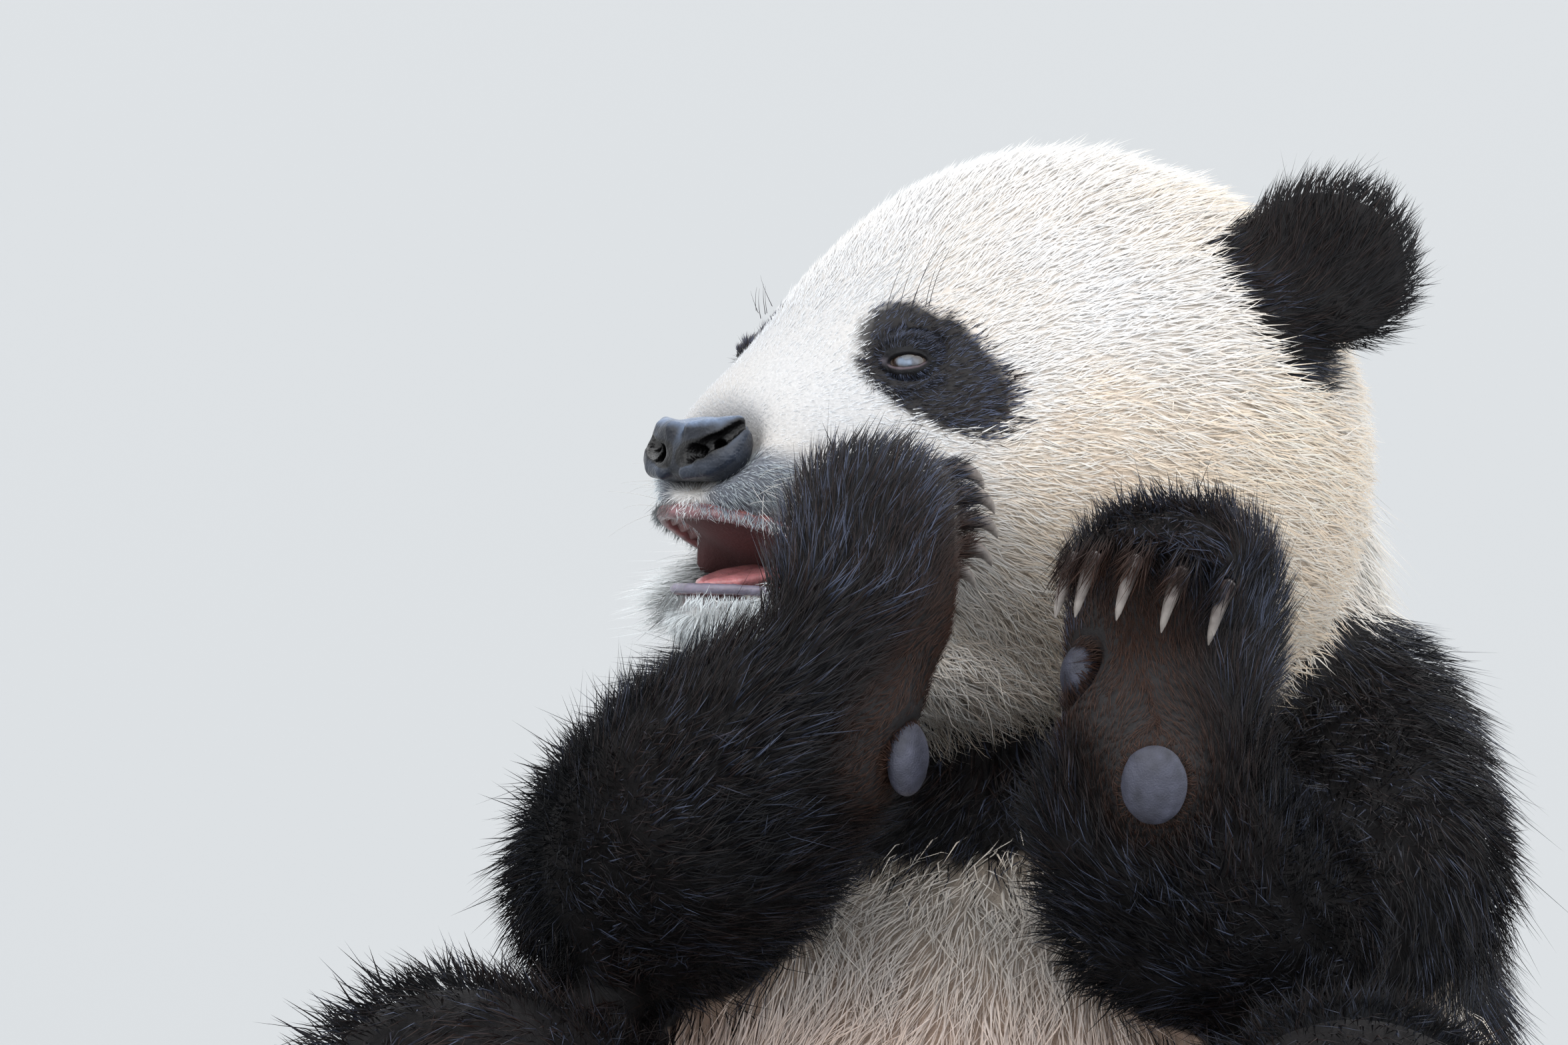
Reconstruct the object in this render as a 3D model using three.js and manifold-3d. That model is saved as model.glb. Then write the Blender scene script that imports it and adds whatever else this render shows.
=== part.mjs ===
// A young adult giant panda as a still, life-size model: it sits on its rump, leaning back, with its
// knees up, its head turned to its right and both forepaws raised to its open mouth.
// Millimetres, +Z up. The trunk faces -Y, so the animal's left is +X. The origin is the middle of the
// flat of the rump that rests on the floor. Every solid of flesh is the outer shape of the coat.
import * as THREE from 'three';
import { mergeVertices } from 'three/addons/utils/BufferGeometryUtils.js';
import Module from 'manifold-3d';

const wasm = await Module();
wasm.setup();

// ---------------------------------------------------------------- driving dimensions
const GAP = 0.4; // clearance between neighbouring solids
const HEAD_AT = [14, 20, 550]; // between the ears, at the height of the eyes
const HEAD_TURN = { yaw: -41.7, pitch: -21.6, roll: -5.1 }; // degrees: to its right, nose up
const CROWN_HEIGHT = 141; // from the eyes up to the top of the head
const CHEEK_HALF_WIDTH = 152;
const NOSE_REACH = 212; // from the ears forward to the tip of the nose
const EYE = { across: 52, forward: 138, up: 0, radius: 11 };
const JAW_OPEN = 12; // degrees
const CLAW = { length: 27, radius: 4.5 };
const TRUNK_HALF_WIDTH = 226;
const LEFT = 1;
const RIGHT = -1;

const coat = {
  white: new THREE.MeshStandardMaterial({ name: 'coat_white', color: 0xe9dfd0, roughness: 0.85 }),
  black: new THREE.MeshStandardMaterial({ name: 'coat_black', color: 0x17151a, roughness: 0.8 }),
  nose: new THREE.MeshStandardMaterial({ name: 'nose', color: 0x1b1d22, roughness: 0.35 }),
  eye: new THREE.MeshStandardMaterial({ name: 'eye', color: 0x120c08, roughness: 0.08 }),
  claw: new THREE.MeshStandardMaterial({ name: 'claw', color: 0xb9a999, roughness: 0.4 }),
  pad: new THREE.MeshStandardMaterial({ name: 'pad', color: 0x55555e, roughness: 0.7 }),
  tongue: new THREE.MeshStandardMaterial({ name: 'tongue', color: 0xc97f7c, roughness: 0.4 }),
};

// ---------------------------------------------------------------- shape tools
const vec = (p) => new THREE.Vector3(...p);
const mix = (a, b, t) => a + (b - a) * t;

// A closed skin over rings of points, from one pole to the other. Each ring runs the same way round.
function skinOver(rings, firstPole, lastPole) {
  const sides = rings[0].length;
  const points = [firstPole, ...rings.flat(), lastPole];
  const last = points.length - 1;
  const faces = [];
  for (let i = 0; i < sides; i++) {
    const j = (i + 1) % sides;
    faces.push(0, 1 + j, 1 + i);
    for (let r = 0; r + 1 < rings.length; r++) {
      const a = 1 + r * sides;
      const b = a + sides;
      faces.push(a + i, a + j, b + j, a + i, b + j, b + i);
    }
    const top = 1 + (rings.length - 1) * sides;
    faces.push(last, top + i, top + j);
  }
  const geometry = new THREE.BufferGeometry().setFromPoints(points);
  geometry.setIndex(faces);
  return geometry;
}

// One oval ring: half-sizes out to each side, up and down; pear widens its lower half.
function ovalRing({ centre, across, upward, wide, up, down = up, pear = 0 }, sides, grow) {
  return Array.from({ length: sides }, (_, i) => {
    const angle = (2 * Math.PI * i) / sides;
    const [c, s] = [Math.cos(angle), Math.sin(angle)];
    return centre
      .clone()
      .addScaledVector(across, c * (wide * (1 - pear * s) + grow))
      .addScaledVector(upward, s * ((s > 0 ? up : down) + grow));
  });
}

// Stations given by hand become a smooth run of values, `steps` to each span.
function smoothRun(values, steps) {
  const curve = new THREE.CatmullRomCurve3(values.map((v, i) => new THREE.Vector3(i, v, 0)));
  const count = (values.length - 1) * steps;
  return Array.from({ length: count + 1 }, (_, i) => curve.getPoint(i / count).y);
}

// A limb: a tube with round ends through stations [x, y, z, half-width, half-depth].
// `side` is the direction of the half-width.
function limb(stations, { side = [1, 0, 0], sides = 16, steps = 2, caps = 2, grow = 0 } = {}) {
  const curve = new THREE.CatmullRomCurve3(stations.map((s) => vec(s)));
  const wides = smoothRun(stations.map((s) => s[3]), steps);
  const deeps = smoothRun(stations.map((s) => s[4] ?? s[3]), steps);
  const ringAt = (i, shrink = 1, shift = 0) => {
    const t = i / (wides.length - 1);
    const along = curve.getTangent(t);
    const upward = along.clone().cross(vec(side)).normalize();
    const across = upward.clone().cross(along).normalize();
    const centre = curve.getPoint(t).addScaledVector(along, shift);
    const size = { wide: wides[i] * shrink, up: deeps[i] * shrink };
    return { centre, across, upward, ...size };
  };
  const capRings = (i, way) =>
    Array.from({ length: caps }, (_, k) => {
      const angle = (Math.PI / 2) * ((k + 1) / (caps + 1));
      const reach = Math.min(wides[i], deeps[i]) + grow;
      return ringAt(i, Math.cos(angle), way * reach * Math.sin(angle));
    });
  const end = wides.length - 1;
  const rings = [...capRings(0, -1).reverse(), ...wides.map((_, i) => ringAt(i)), ...capRings(end, 1)];
  const pole = (i, way) => ringAt(i, 1, way * (Math.min(wides[i], deeps[i]) + grow)).centre;
  return solidOf(skinOver(rings.map((r) => ovalRing(r, sides, grow)), pole(0, -1), pole(end, 1)));
}

// A body with level slices or square-on sections: stations {at, wide, up, down, pear, shift} along one axis.
function sections(stations, { along, across, upward, sides = 28, steps = 2, grow = 0 }) {
  const run = (key) => smoothRun(stations.map((s) => s[key] ?? 0), steps);
  const [ats, shifts, wides, ups, downs, pears] = ['at', 'shift', 'wide', 'up', 'down', 'pear'].map(run);
  const [way, x, y] = [along, across, upward].map(vec);
  const centreAt = (i, extra = 0) =>
    new THREE.Vector3().addScaledVector(way, ats[i] + extra).addScaledVector(y, shifts[i]);
  const rings = ats.map((_, i) =>
    ovalRing(
      { centre: centreAt(i), across: x, upward: y, wide: wides[i], up: ups[i], down: downs[i], pear: pears[i] },
      sides,
      grow,
    ),
  );
  const end = ats.length - 1;
  const tip = (i) => 0.2 * Math.min(wides[i], ups[i]) + grow;
  return solidOf(skinOver(rings, centreAt(0, -tip(0)), centreAt(end, tip(end))));
}

function ball(at, size, { sides = 16, rings = 10, turn = [0, 0, 0], grow = 0 } = {}) {
  const geometry = new THREE.SphereGeometry(1, sides, rings);
  geometry.scale(...size.map((s) => s + grow));
  const place = new THREE.Matrix4().makeRotationFromEuler(new THREE.Euler(...turn)).setPosition(...at);
  return solidOf(geometry.applyMatrix4(place));
}

// A three.js geometry as a manifold solid, and back.
function solidOf(geometry) {
  const bare = geometry.clone();
  bare.deleteAttribute('normal');
  bare.deleteAttribute('uv');
  const merged = mergeVertices(bare, 1e-4);
  return new wasm.Manifold(
    new wasm.Mesh({
      numProp: 3,
      vertProperties: merged.attributes.position.array,
      triVerts: new Uint32Array(merged.index.array),
    }),
  );
}

function geometryOf(solid) {
  const mesh = solid.getMesh();
  const geometry = new THREE.BufferGeometry();
  geometry.setAttribute('position', new THREE.BufferAttribute(new Float32Array(mesh.vertProperties), 3));
  geometry.setIndex(new THREE.BufferAttribute(new Uint32Array(mesh.triVerts), 1));
  geometry.computeVertexNormals();
  return geometry;
}

const biggest = (solid) => solid.decompose().sort((a, b) => b.volume() - a.volume())[0];
const cut = (solid, ...others) => biggest(others.reduce((left, other) => left.subtract(other), solid));
const join = (...solids) => solids.reduce((all, next) => all.add(next));

// ---------------------------------------------------------------- the head's own frame
const degrees = THREE.MathUtils.degToRad;
const headTurn = new THREE.Euler(
  degrees(HEAD_TURN.pitch),
  degrees(HEAD_TURN.roll),
  degrees(HEAD_TURN.yaw),
  'ZXY',
);
const headMatrix = new THREE.Matrix4().makeRotationFromEuler(headTurn).setPosition(...HEAD_AT);
// A point given as [left, forward, up] from the middle of the head.
const onHead = (left, forward, up) => new THREE.Vector3(left, -forward, up).applyMatrix4(headMatrix);
const placeOnHead = (solid) => solid.transform(headMatrix.elements);

// Sections from the back of the skull to the nose: at = forward, top and bottom from the eyes' height.
const HEAD_SECTIONS = [
  { at: -116, wide: 66, top: 68, bottom: -66, pear: 0.05 },
  { at: -92, wide: 108, top: 103, bottom: -100, pear: 0.06 },
  { at: -52, wide: 139, top: 130, bottom: -122, pear: 0.08 },
  { at: -5, wide: CHEEK_HALF_WIDTH, top: CROWN_HEIGHT, bottom: -130, pear: 0.1 },
  { at: 40, wide: 150, top: 136, bottom: -130, pear: 0.13 },
  { at: 80, wide: 133, top: 122, bottom: -124, pear: 0.15 },
  { at: 108, wide: 113, top: 103, bottom: -114, pear: 0.16 },
  { at: 132, wide: 90, top: 72, bottom: -104, pear: 0.16 },
  { at: 150, wide: 71, top: 42, bottom: -98, pear: 0.13 },
  { at: 168, wide: 56, top: 12, bottom: -95, pear: 0.1 },
  { at: 185, wide: 46, top: -14, bottom: -93, pear: 0.06 },
  { at: 199, wide: 37, top: -34, bottom: -91, pear: 0.02 },
  { at: 207, wide: 25, top: -47, bottom: -86, pear: 0 },
];
const HEAD_FRAME = { along: [0, -1, 0], across: [1, 0, 0], upward: [0, 0, 1] };

function bySection(list, options) {
  const stations = list.map(({ at, wide, top, bottom, pear }) => {
    const half = (top - bottom) / 2;
    return { at, wide, pear, up: half, down: half, shift: (top + bottom) / 2 };
  });
  return placeOnHead(sections(stations, { ...HEAD_FRAME, ...options }));
}

const headShape = (grow = 0) => bySection(HEAD_SECTIONS, { sides: 24, steps: 1, grow });

// The lower jaw hangs open from the back of the cheeks.
function jawShape(grow = 0) {
  const drop = (forward) => -Math.max(0, forward - 60) * Math.tan(degrees(JAW_OPEN));
  const jaw = [
    { at: 46, wide: 80, top: -72, bottom: -138, pear: 0.1 },
    { at: 90, wide: 70, top: -92, bottom: -136, pear: 0.1 },
    { at: 130, wide: 50, top: -90, bottom: -129, pear: 0.1 },
    { at: 160, wide: 40, top: -89, bottom: -121, pear: 0.1 },
    { at: 178, wide: 30, top: -90, bottom: -114, pear: 0.1 },
    { at: 187, wide: 18, top: -93, bottom: -107, pear: 0 },
  ].map((s) => ({ ...s, top: s.top + drop(s.at), bottom: s.bottom + drop(s.at) }));
  return join(bySection(jaw, { sides: 16, steps: 1, grow }), lipCorner(LEFT, grow), lipCorner(RIGHT, grow));
}

// The stretched lip at each corner of the open mouth, from the upper lip down to the jaw.
function lipCorner(way, grow = 0) {
  const run = [
    [40, 138, -92, 13],
    [41, 158, -98, 11],
    [36, 170, -108, 10],
    [29, 171, -118, 10],
  ];
  const stations = run.map(([out, forward, up, radius]) => [...onHead(way * out, forward, up).toArray(), radius]);
  return limb(stations, { sides: 8, steps: 1, caps: 1, grow });
}

function noseShape(grow = 0) {
  const pad = [
    { at: 184, wide: 25, top: -40, bottom: -64, pear: -0.1 },
    { at: 195, wide: 32, top: -38, bottom: -73, pear: -0.25 },
    { at: 206, wide: 27, top: -43, bottom: -76, pear: -0.3 },
    { at: NOSE_REACH, wide: 15, top: -50, bottom: -72, pear: -0.25 },
  ];
  return bySection(pad, { sides: 14, steps: 1, grow });
}

function tongueShape(grow = 0) {
  const length = [
    [92, -103, 24, 5],
    [124, -107, 25, 6],
    [152, -110, 22, 5.5],
    [172, -113, 15, 4.5],
  ];
  return limb(
    length.map(([forward, up, wide, deep]) => [...onHead(0, forward, up).toArray(), wide, deep]),
    { side: onHead(1, 0, 0).sub(onHead(0, 0, 0)).toArray(), sides: 10, steps: 1, caps: 1, grow },
  );
}

// A round ear: a thick disc, hollowed a little in front, that faces forward and outward.
function earShape(way, grow = 0) {
  const face = { across: 50, up: 51, thick: 18 };
  const turn = [degrees(-12), degrees(way * 24), degrees(way * 40)];
  const dish = ball([0, -18, 10], [30, 12, 28], { sides: 12, rings: 6 });
  const disc = ball([0, 0, 0], [face.across, face.thick, face.up], { sides: 16, rings: 8, grow });
  const placed = new THREE.Matrix4()
    .makeRotationFromEuler(new THREE.Euler(...turn, 'ZYX'))
    .setPosition(way * 123, 9, 90);
  return placeOnHead(disc.subtract(dish).transform(placed.elements));
}

const eyeShape = (way, grow = 0) =>
  ball(onHead(way * EYE.across, EYE.forward, EYE.up).toArray(), Array(3).fill(EYE.radius), {
    sides: 10,
    rings: 6,
    grow,
  });
// The opening between the lids, in front of each eye.
const lidOpening = (way) =>
  placeOnHead(ball([way * 60, -151, 0], [14, 11, 8], { sides: 10, rings: 4, turn: [0, 0, degrees(way * 38)] }));

// ---------------------------------------------------------------- neck, trunk and tail
const neckShape = (grow = 0) =>
  limb(
    [
      [4, 92, 396, 132, 124],
      [8, 92, 462, 138, 126],
      [20, 80, 524, 132, 118],
    ],
    { side: [0.94, -0.34, 0], sides: 18, steps: 1, caps: 1, grow },
  );

// Level slices: at = height, front and back are the y of the belly and of the back.
const TRUNK_SLICES = [
  { at: -22, wide: 118, front: -96, back: 128 },
  { at: 0, wide: 158, front: -140, back: 172 },
  { at: 45, wide: 196, front: -186, back: 212 },
  { at: 110, wide: 216, front: -222, back: 242 },
  { at: 190, wide: TRUNK_HALF_WIDTH, front: -242, back: 260 },
  { at: 265, wide: 224, front: -242, back: 264 },
  { at: 330, wide: 214, front: -226, back: 254 },
  { at: 385, wide: 194, front: -180, back: 236 },
  { at: 430, wide: 170, front: -112, back: 212 },
  { at: 468, wide: 138, front: -46, back: 184 },
  { at: 496, wide: 98, front: 10, back: 154 },
  { at: 512, wide: 52, front: 44, back: 122 },
];

function trunkShape(grow = 0) {
  const stations = TRUNK_SLICES.map(({ at, wide, front, back }) => {
    const half = (back - front) / 2;
    return { at, wide, up: half, down: half, shift: (front + back) / 2 };
  });
  const frame = { along: [0, 0, 1], across: [1, 0, 0], upward: [0, 1, 0] };
  return sections(stations, { ...frame, sides: 24, steps: 1, grow });
}

const tailShape = (grow = 0) =>
  limb(
    [
      [0, 226, 134, 46, 22],
      [0, 243, 98, 50, 27],
      [0, 244, 62, 48, 28],
      [0, 234, 28, 40, 25],
    ],
    { sides: 12, steps: 1, caps: 2, grow },
  );

// ---------------------------------------------------------------- forelegs
const FORELEGS = {
  [LEFT]: {
    shoulder: [
      [112, 68, 420, 80, 82],
      [135, 12, 392, 80, 80],
      [149, -52, 372, 78, 76],
      [140, -100, 366, 72, 72],
    ],
    forearm: [
      [134, -104, 368, 62, 62],
      [120, -152, 372, 68, 66],
      [104, -206, 396, 65, 62],
      [96, -240, 434, 59, 55],
      [98, -246, 452, 51, 47],
    ],
    forearmSide: [1, -0.3, 0],
    palm: [
      [99, -240, 468, 46, 38],
      [99, -212, 495, 51, 34],
      [98, -196, 521, 51, 29],
      [97, -190, 538, 47, 24],
    ],
    palmSide: [0.97, 0.25, -0.12],
  },
  [RIGHT]: {
    shoulder: [
      [-126, 48, 398, 80, 82],
      [-136, -26, 384, 78, 78],
      [-138, -100, 378, 74, 72],
      [-136, -148, 380, 70, 68],
    ],
    forearm: [
      [-138, -150, 382, 62, 60],
      [-122, -190, 396, 69, 67],
      [-86, -234, 433, 66, 62],
      [-46, -260, 472, 54, 50],
      [-36, -262, 484, 47, 44],
    ],
    forearmSide: [0.8, -0.5, -0.3],
    palm: [
      [-32, -260, 488, 42, 38],
      [-25, -254, 518, 45, 33],
      [-23, -241, 546, 43, 29],
      [-24, -231, 562, 38, 25],
    ],
    palmSide: [0.9, 0.42, 0.05],
  },
};

const shoulderShape = (way, grow = 0) =>
  limb(FORELEGS[way].shoulder, { side: [1, 0, 0], sides: 16, steps: 1, caps: 2, grow });
const forearmShape = (way, grow = 0) =>
  limb(FORELEGS[way].forearm, { side: FORELEGS[way].forearmSide, sides: 16, steps: 1, caps: 2, grow });
const palmShape = (way, grow = 0) =>
  limb(FORELEGS[way].palm, { side: FORELEGS[way].palmSide, sides: 12, steps: 1, caps: 2, grow });

// A digit bends at three joints; its claw carries on from the last one.
const DIGIT_COUNT = 5;
const digitShape = (joints, radius, grow = 0) =>
  limb(joints.map((p, i) => [...p, radius * (1 - 0.13 * i)]), { sides: 6, steps: 1, caps: 1, grow });

// A curved claw from its root, setting off one way and hooking over towards another, to a point.
function clawShape(root, out, over, grow = 0) {
  const ahead = vec(out).normalize();
  const bend = vec(over).normalize();
  const side = ahead.clone().cross(bend).normalize();
  const at = (t) =>
    vec(root)
      .addScaledVector(ahead, 0.8 * CLAW.length * Math.sin(1.25 * t))
      .addScaledVector(bend, 0.8 * CLAW.length * (1 - Math.cos(1.25 * t)));
  const rings = [0, 0.4, 0.75].map((t) => {
    const along = ahead.clone().multiplyScalar(Math.cos(1.25 * t)).addScaledVector(bend, Math.sin(1.25 * t));
    const radius = CLAW.radius * (1 - t ** 1.5 * 0.75);
    const ring = { centre: at(t), across: side, upward: along.clone().cross(side), wide: radius * 0.8, up: radius };
    return ovalRing(ring, 6, grow);
  });
  return solidOf(skinOver(rings, at(-0.12), at(1 + grow / CLAW.length)));
}

// Each digit of the left paw hooks over forward, away from the palm, then down.
const LEFT_DIGITS = [
  [[63, -199, 533], [66, -227, 539], [65, -257, 538]],
  [[78, -195, 541], [80, -225, 549], [74, -261, 539]],
  [[94, -191, 545], [96, -223, 552], [91, -260, 538]],
  [[112, -188, 544], [114, -218, 550], [109, -256, 533]],
  [[129, -185, 534], [131, -211, 541], [127, -246, 527]],
];
// The right paw shows its back: its digits point to the animal's left and curl in towards the cheek.
const RIGHT_DIGITS = [
  [[-24, -214, 567], [-12, -190, 568], [-3, -172, 565]],
  [[-20, -217, 558], [-8, -192, 558], [2, -174, 555]],
  [[-18, -221, 547], [-6, -196, 547], [4, -178, 545]],
  [[-18, -226, 537], [-8, -204, 536], [3, -186, 534]],
  [[-19, -232, 527], [-10, -213, 526], [-2, -197, 526]],
];
const FORE_DIGITS = {
  [LEFT]: LEFT_DIGITS.map((joints) => ({ joints, radius: 14, out: [-0.35, -0.35, -0.85], over: [-0.1, 0.6, -0.6] })),
  [RIGHT]: RIGHT_DIGITS.map((joints) => ({ joints, radius: 13.5, out: [0.62, 0.7, 0.1], over: [-0.2, 0.4, -0.9] })),
};

const forepawShape = (way, grow = 0) =>
  join(palmShape(way, grow), ...FORE_DIGITS[way].map((d) => digitShape(d.joints, d.radius, grow)));

// Bare pads: the round one behind the wrist and the one on the false thumb.
const PADS = {
  [LEFT]: {
    wrist: { at: [106, -300, 452], size: [14, 9, 17], turn: [0.1, 0, 0.2] },
    thumb: { at: [65, -242, 489], size: [11, 10, 15], turn: [0, 0, -0.5] },
  },
  [RIGHT]: {
    wrist: { at: [-2, -270, 456], size: [8, 13, 16], turn: [0, 0, -0.3] },
    thumb: { at: [-6, -226, 506], size: [12, 9, 14], turn: [0, 0, 0.3] },
  },
};
const padShape = ({ at, size, turn }, grow = 0) => ball(at, size, { sides: 10, rings: 6, turn, grow });

// ---------------------------------------------------------------- hind legs
const mirrored = (stations, way) => stations.map(([x, ...rest]) => [way * x, ...rest]);
const THIGH = [
  [112, -40, 128, 106, 116],
  [150, -130, 190, 104, 110],
  [176, -220, 256, 95, 98],
  [187, -284, 288, 87, 86],
];
const SHANK = [
  [190, -296, 280, 76, 76],
  [194, -344, 208, 77, 80],
  [198, -372, 136, 72, 76],
  [201, -386, 80, 65, 68],
];
const SOLE = [
  [200, -376, 46, 60, 52],
  [203, -424, 44, 61, 52],
  [208, -474, 37, 62, 44],
  [212, -505, 32, 59, 36],
];
const thighShape = (way, grow = 0) =>
  limb(mirrored(THIGH, way), { side: [1, 0, 0], sides: 18, steps: 1, caps: 2, grow });
const shankShape = (way, grow = 0) =>
  limb(mirrored(SHANK, way), { side: [1, 0, 0], sides: 16, steps: 1, caps: 2, grow });

function hindDigits(way) {
  return Array.from({ length: DIGIT_COUNT }, (_, i) => {
    const t = i / (DIGIT_COUNT - 1);
    const x = way * mix(172, 258, t);
    const reach = 10 * Math.sin(Math.PI * (0.2 + 0.6 * t));
    return {
      joints: [
        [x, -505, 29],
        [x + way * 3, -541 - reach, 21],
      ],
      out: [way * 0.08, -1, 0.12],
      over: [0, -0.3, -1],
      radius: 16,
    };
  });
}
const HIND_DIGITS = { [LEFT]: hindDigits(LEFT), [RIGHT]: hindDigits(RIGHT) };
const footShape = (way, grow = 0) =>
  join(
    limb(mirrored(SOLE, way), { side: [1, 0, 0], sides: 12, steps: 1, caps: 2, grow }),
    ...HIND_DIGITS[way].map((d) => digitShape(d.joints, d.radius, grow)),
  );

// ---------------------------------------------------------------- the assembly
const floor = solidOf(new THREE.BoxGeometry(3000, 3000, 400).translate(0, 0, -200));
const panda = new THREE.Group();

function add(name, solid, material) {
  const mesh = new THREE.Mesh(geometryOf(solid), material);
  mesh.name = name;
  panda.add(mesh);
}

const trunk = cut(trunkShape(), floor);
add('trunk', trunk, coat.white);
add('tail', cut(tailShape(), trunkShape(GAP), floor), coat.white);

const eyeRoom = [LEFT, RIGHT].flatMap((way) => [eyeShape(way, GAP), lidOpening(way)]);
add('head', cut(headShape(), noseShape(GAP), trunkShape(GAP), ...eyeRoom), coat.white);
add('nose', noseShape(), coat.nose);
add('jaw', cut(jawShape(), headShape(GAP), trunkShape(GAP), tongueShape(GAP)), coat.white);
add('tongue', cut(tongueShape(), headShape(GAP)), coat.tongue);
add('neck', cut(neckShape(), headShape(GAP), jawShape(GAP), trunkShape(GAP)), coat.white);
const body = (grow) => [trunkShape(grow), headShape(grow), jawShape(grow), neckShape(grow)];

for (const [way, side] of [[LEFT, 'left'], [RIGHT, 'right']]) {
  add(`ear_${side}`, cut(earShape(way), headShape(GAP), neckShape(GAP)), coat.black);
  add(`eye_${side}`, eyeShape(way), coat.eye);

  const pads = Object.entries(PADS[way]);
  const padRoom = pads.map(([, pad]) => padShape(pad, GAP));
  const foreClaws = FORE_DIGITS[way].map((d) => [d.joints.at(-1), d.out, d.over]);
  const clawRoom = foreClaws.map((claw) => clawShape(...claw, GAP));
  add(`upper_arm_${side}`, cut(shoulderShape(way), ...body(GAP)), coat.black);
  const forearm = cut(forearmShape(way), shoulderShape(way, GAP), ...padRoom, ...clawRoom, ...body(GAP));
  add(`forearm_${side}`, forearm, coat.black);
  const upToWrist = [forearmShape(way, GAP), shoulderShape(way, GAP)];
  const paw = cut(forepawShape(way), ...upToWrist, ...padRoom, ...clawRoom, ...body(GAP));
  add(`forepaw_${side}`, paw, coat.black);
  foreClaws.forEach((claw, i) => add(`claw_fore_${side}_${i + 1}`, cut(clawShape(...claw), ...body(GAP)), coat.claw));
  pads.forEach(([name, pad]) => add(`pad_${name}_${side}`, padShape(pad), coat.pad));

  const armRoom = [forearmShape(way, GAP), shoulderShape(way, GAP)];
  add(`thigh_${side}`, cut(thighShape(way), trunkShape(GAP), ...armRoom, floor), coat.black);
  add(`shank_${side}`, cut(shankShape(way), thighShape(way, GAP), trunkShape(GAP), floor), coat.black);
  const hindClaws = HIND_DIGITS[way].map((d) => [d.joints.at(-1), d.out, d.over]);
  const hindRoom = hindClaws.map((claw) => clawShape(...claw, GAP));
  const foot = cut(footShape(way), shankShape(way, GAP), ...hindRoom, floor);
  add(`foot_${side}`, foot, coat.black);
  hindClaws.forEach((claw, i) => add(`claw_hind_${side}_${i + 1}`, cut(clawShape(...claw), floor), coat.claw));
}

export default panda;
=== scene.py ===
"""A still, life-size giant panda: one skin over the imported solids, a coat of mesh tufts and a face."""
import math

import bpy
import numpy as np
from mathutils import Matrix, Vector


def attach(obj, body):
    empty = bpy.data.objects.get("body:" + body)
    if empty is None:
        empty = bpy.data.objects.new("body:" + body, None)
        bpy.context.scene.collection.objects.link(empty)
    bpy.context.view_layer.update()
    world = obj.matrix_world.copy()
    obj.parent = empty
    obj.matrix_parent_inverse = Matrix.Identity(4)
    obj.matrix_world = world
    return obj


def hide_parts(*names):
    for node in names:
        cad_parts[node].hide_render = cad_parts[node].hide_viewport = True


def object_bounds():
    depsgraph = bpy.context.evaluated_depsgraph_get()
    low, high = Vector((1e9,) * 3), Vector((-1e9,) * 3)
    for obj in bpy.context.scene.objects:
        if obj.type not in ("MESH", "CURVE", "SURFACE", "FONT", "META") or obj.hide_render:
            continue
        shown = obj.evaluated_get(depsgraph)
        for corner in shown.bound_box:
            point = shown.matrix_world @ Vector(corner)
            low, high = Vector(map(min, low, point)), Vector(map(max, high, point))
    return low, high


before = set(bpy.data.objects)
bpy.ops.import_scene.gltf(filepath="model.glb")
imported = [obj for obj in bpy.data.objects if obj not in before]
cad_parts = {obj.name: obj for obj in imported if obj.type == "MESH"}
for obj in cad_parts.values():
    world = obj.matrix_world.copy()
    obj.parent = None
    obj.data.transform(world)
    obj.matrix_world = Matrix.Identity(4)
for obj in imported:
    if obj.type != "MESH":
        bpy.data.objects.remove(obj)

import openvdb as vdb
from mathutils import Matrix, Vector, kdtree

cad_lo, cad_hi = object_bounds()
MM = 0.001
SIDES = {"left": 1, "right": -1}  # which way each side lies from the middle


def unit(v):
    v = np.asarray(v, float)
    return v / np.maximum(np.linalg.norm(v, axis=-1, keepdims=True), 1e-9)


def step(x, lo, hi):
    t = np.clip((x - lo) / (hi - lo), 0, 1)
    return t * t * (3 - 2 * t)


def mix(a, b, t):
    return a + (b - a) * t


def tint(base, colour, share):
    """A list of colours, each drawn towards one colour by its own share."""
    return mix(base, np.array(colour), share[:, None])


def laid(v, normal):
    """Directions laid flat on a surface."""
    return unit(v - (v * normal).sum(1, keepdims=True) * normal)


def round_turn(count):
    return np.linspace(0, 2 * np.pi, count, endpoint=False)


# ---------------------------------------------------------------- camera
AZ, EL = math.radians(12), math.radians(6)
RIGHTWARD = np.array([math.cos(AZ), math.sin(AZ), 0.0])
BACKWARD = np.array([math.sin(AZ) * math.cos(EL), -math.cos(AZ) * math.cos(EL), math.sin(EL)])
UPWARD = np.cross(BACKWARD, RIGHTWARD)
TARGET = np.array([-109.44, -8.97, 524.55])
DISTANCE = 4000.0
PICTURE_WIDE = 2352  # pixels
PX_PER_MM = 3.4  # at the target
SENSOR = 36.0

cam = bpy.data.objects.new("camera", bpy.data.cameras.new("camera"))
bpy.context.scene.collection.objects.link(cam)
cam.data.sensor_width = SENSOR
cam.data.lens = SENSOR * PX_PER_MM * DISTANCE / PICTURE_WIDE
cam.data.clip_start, cam.data.clip_end = 0.1, 200
at = (TARGET + DISTANCE * BACKWARD) * MM
cam.matrix_world = Matrix(
    [[RIGHTWARD[i], UPWARD[i], BACKWARD[i], at[i]] for i in range(3)] + [[0, 0, 0, 1]]
)
bpy.context.scene.camera = cam
bpy.context.scene.view_settings.view_transform = "Standard"

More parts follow.
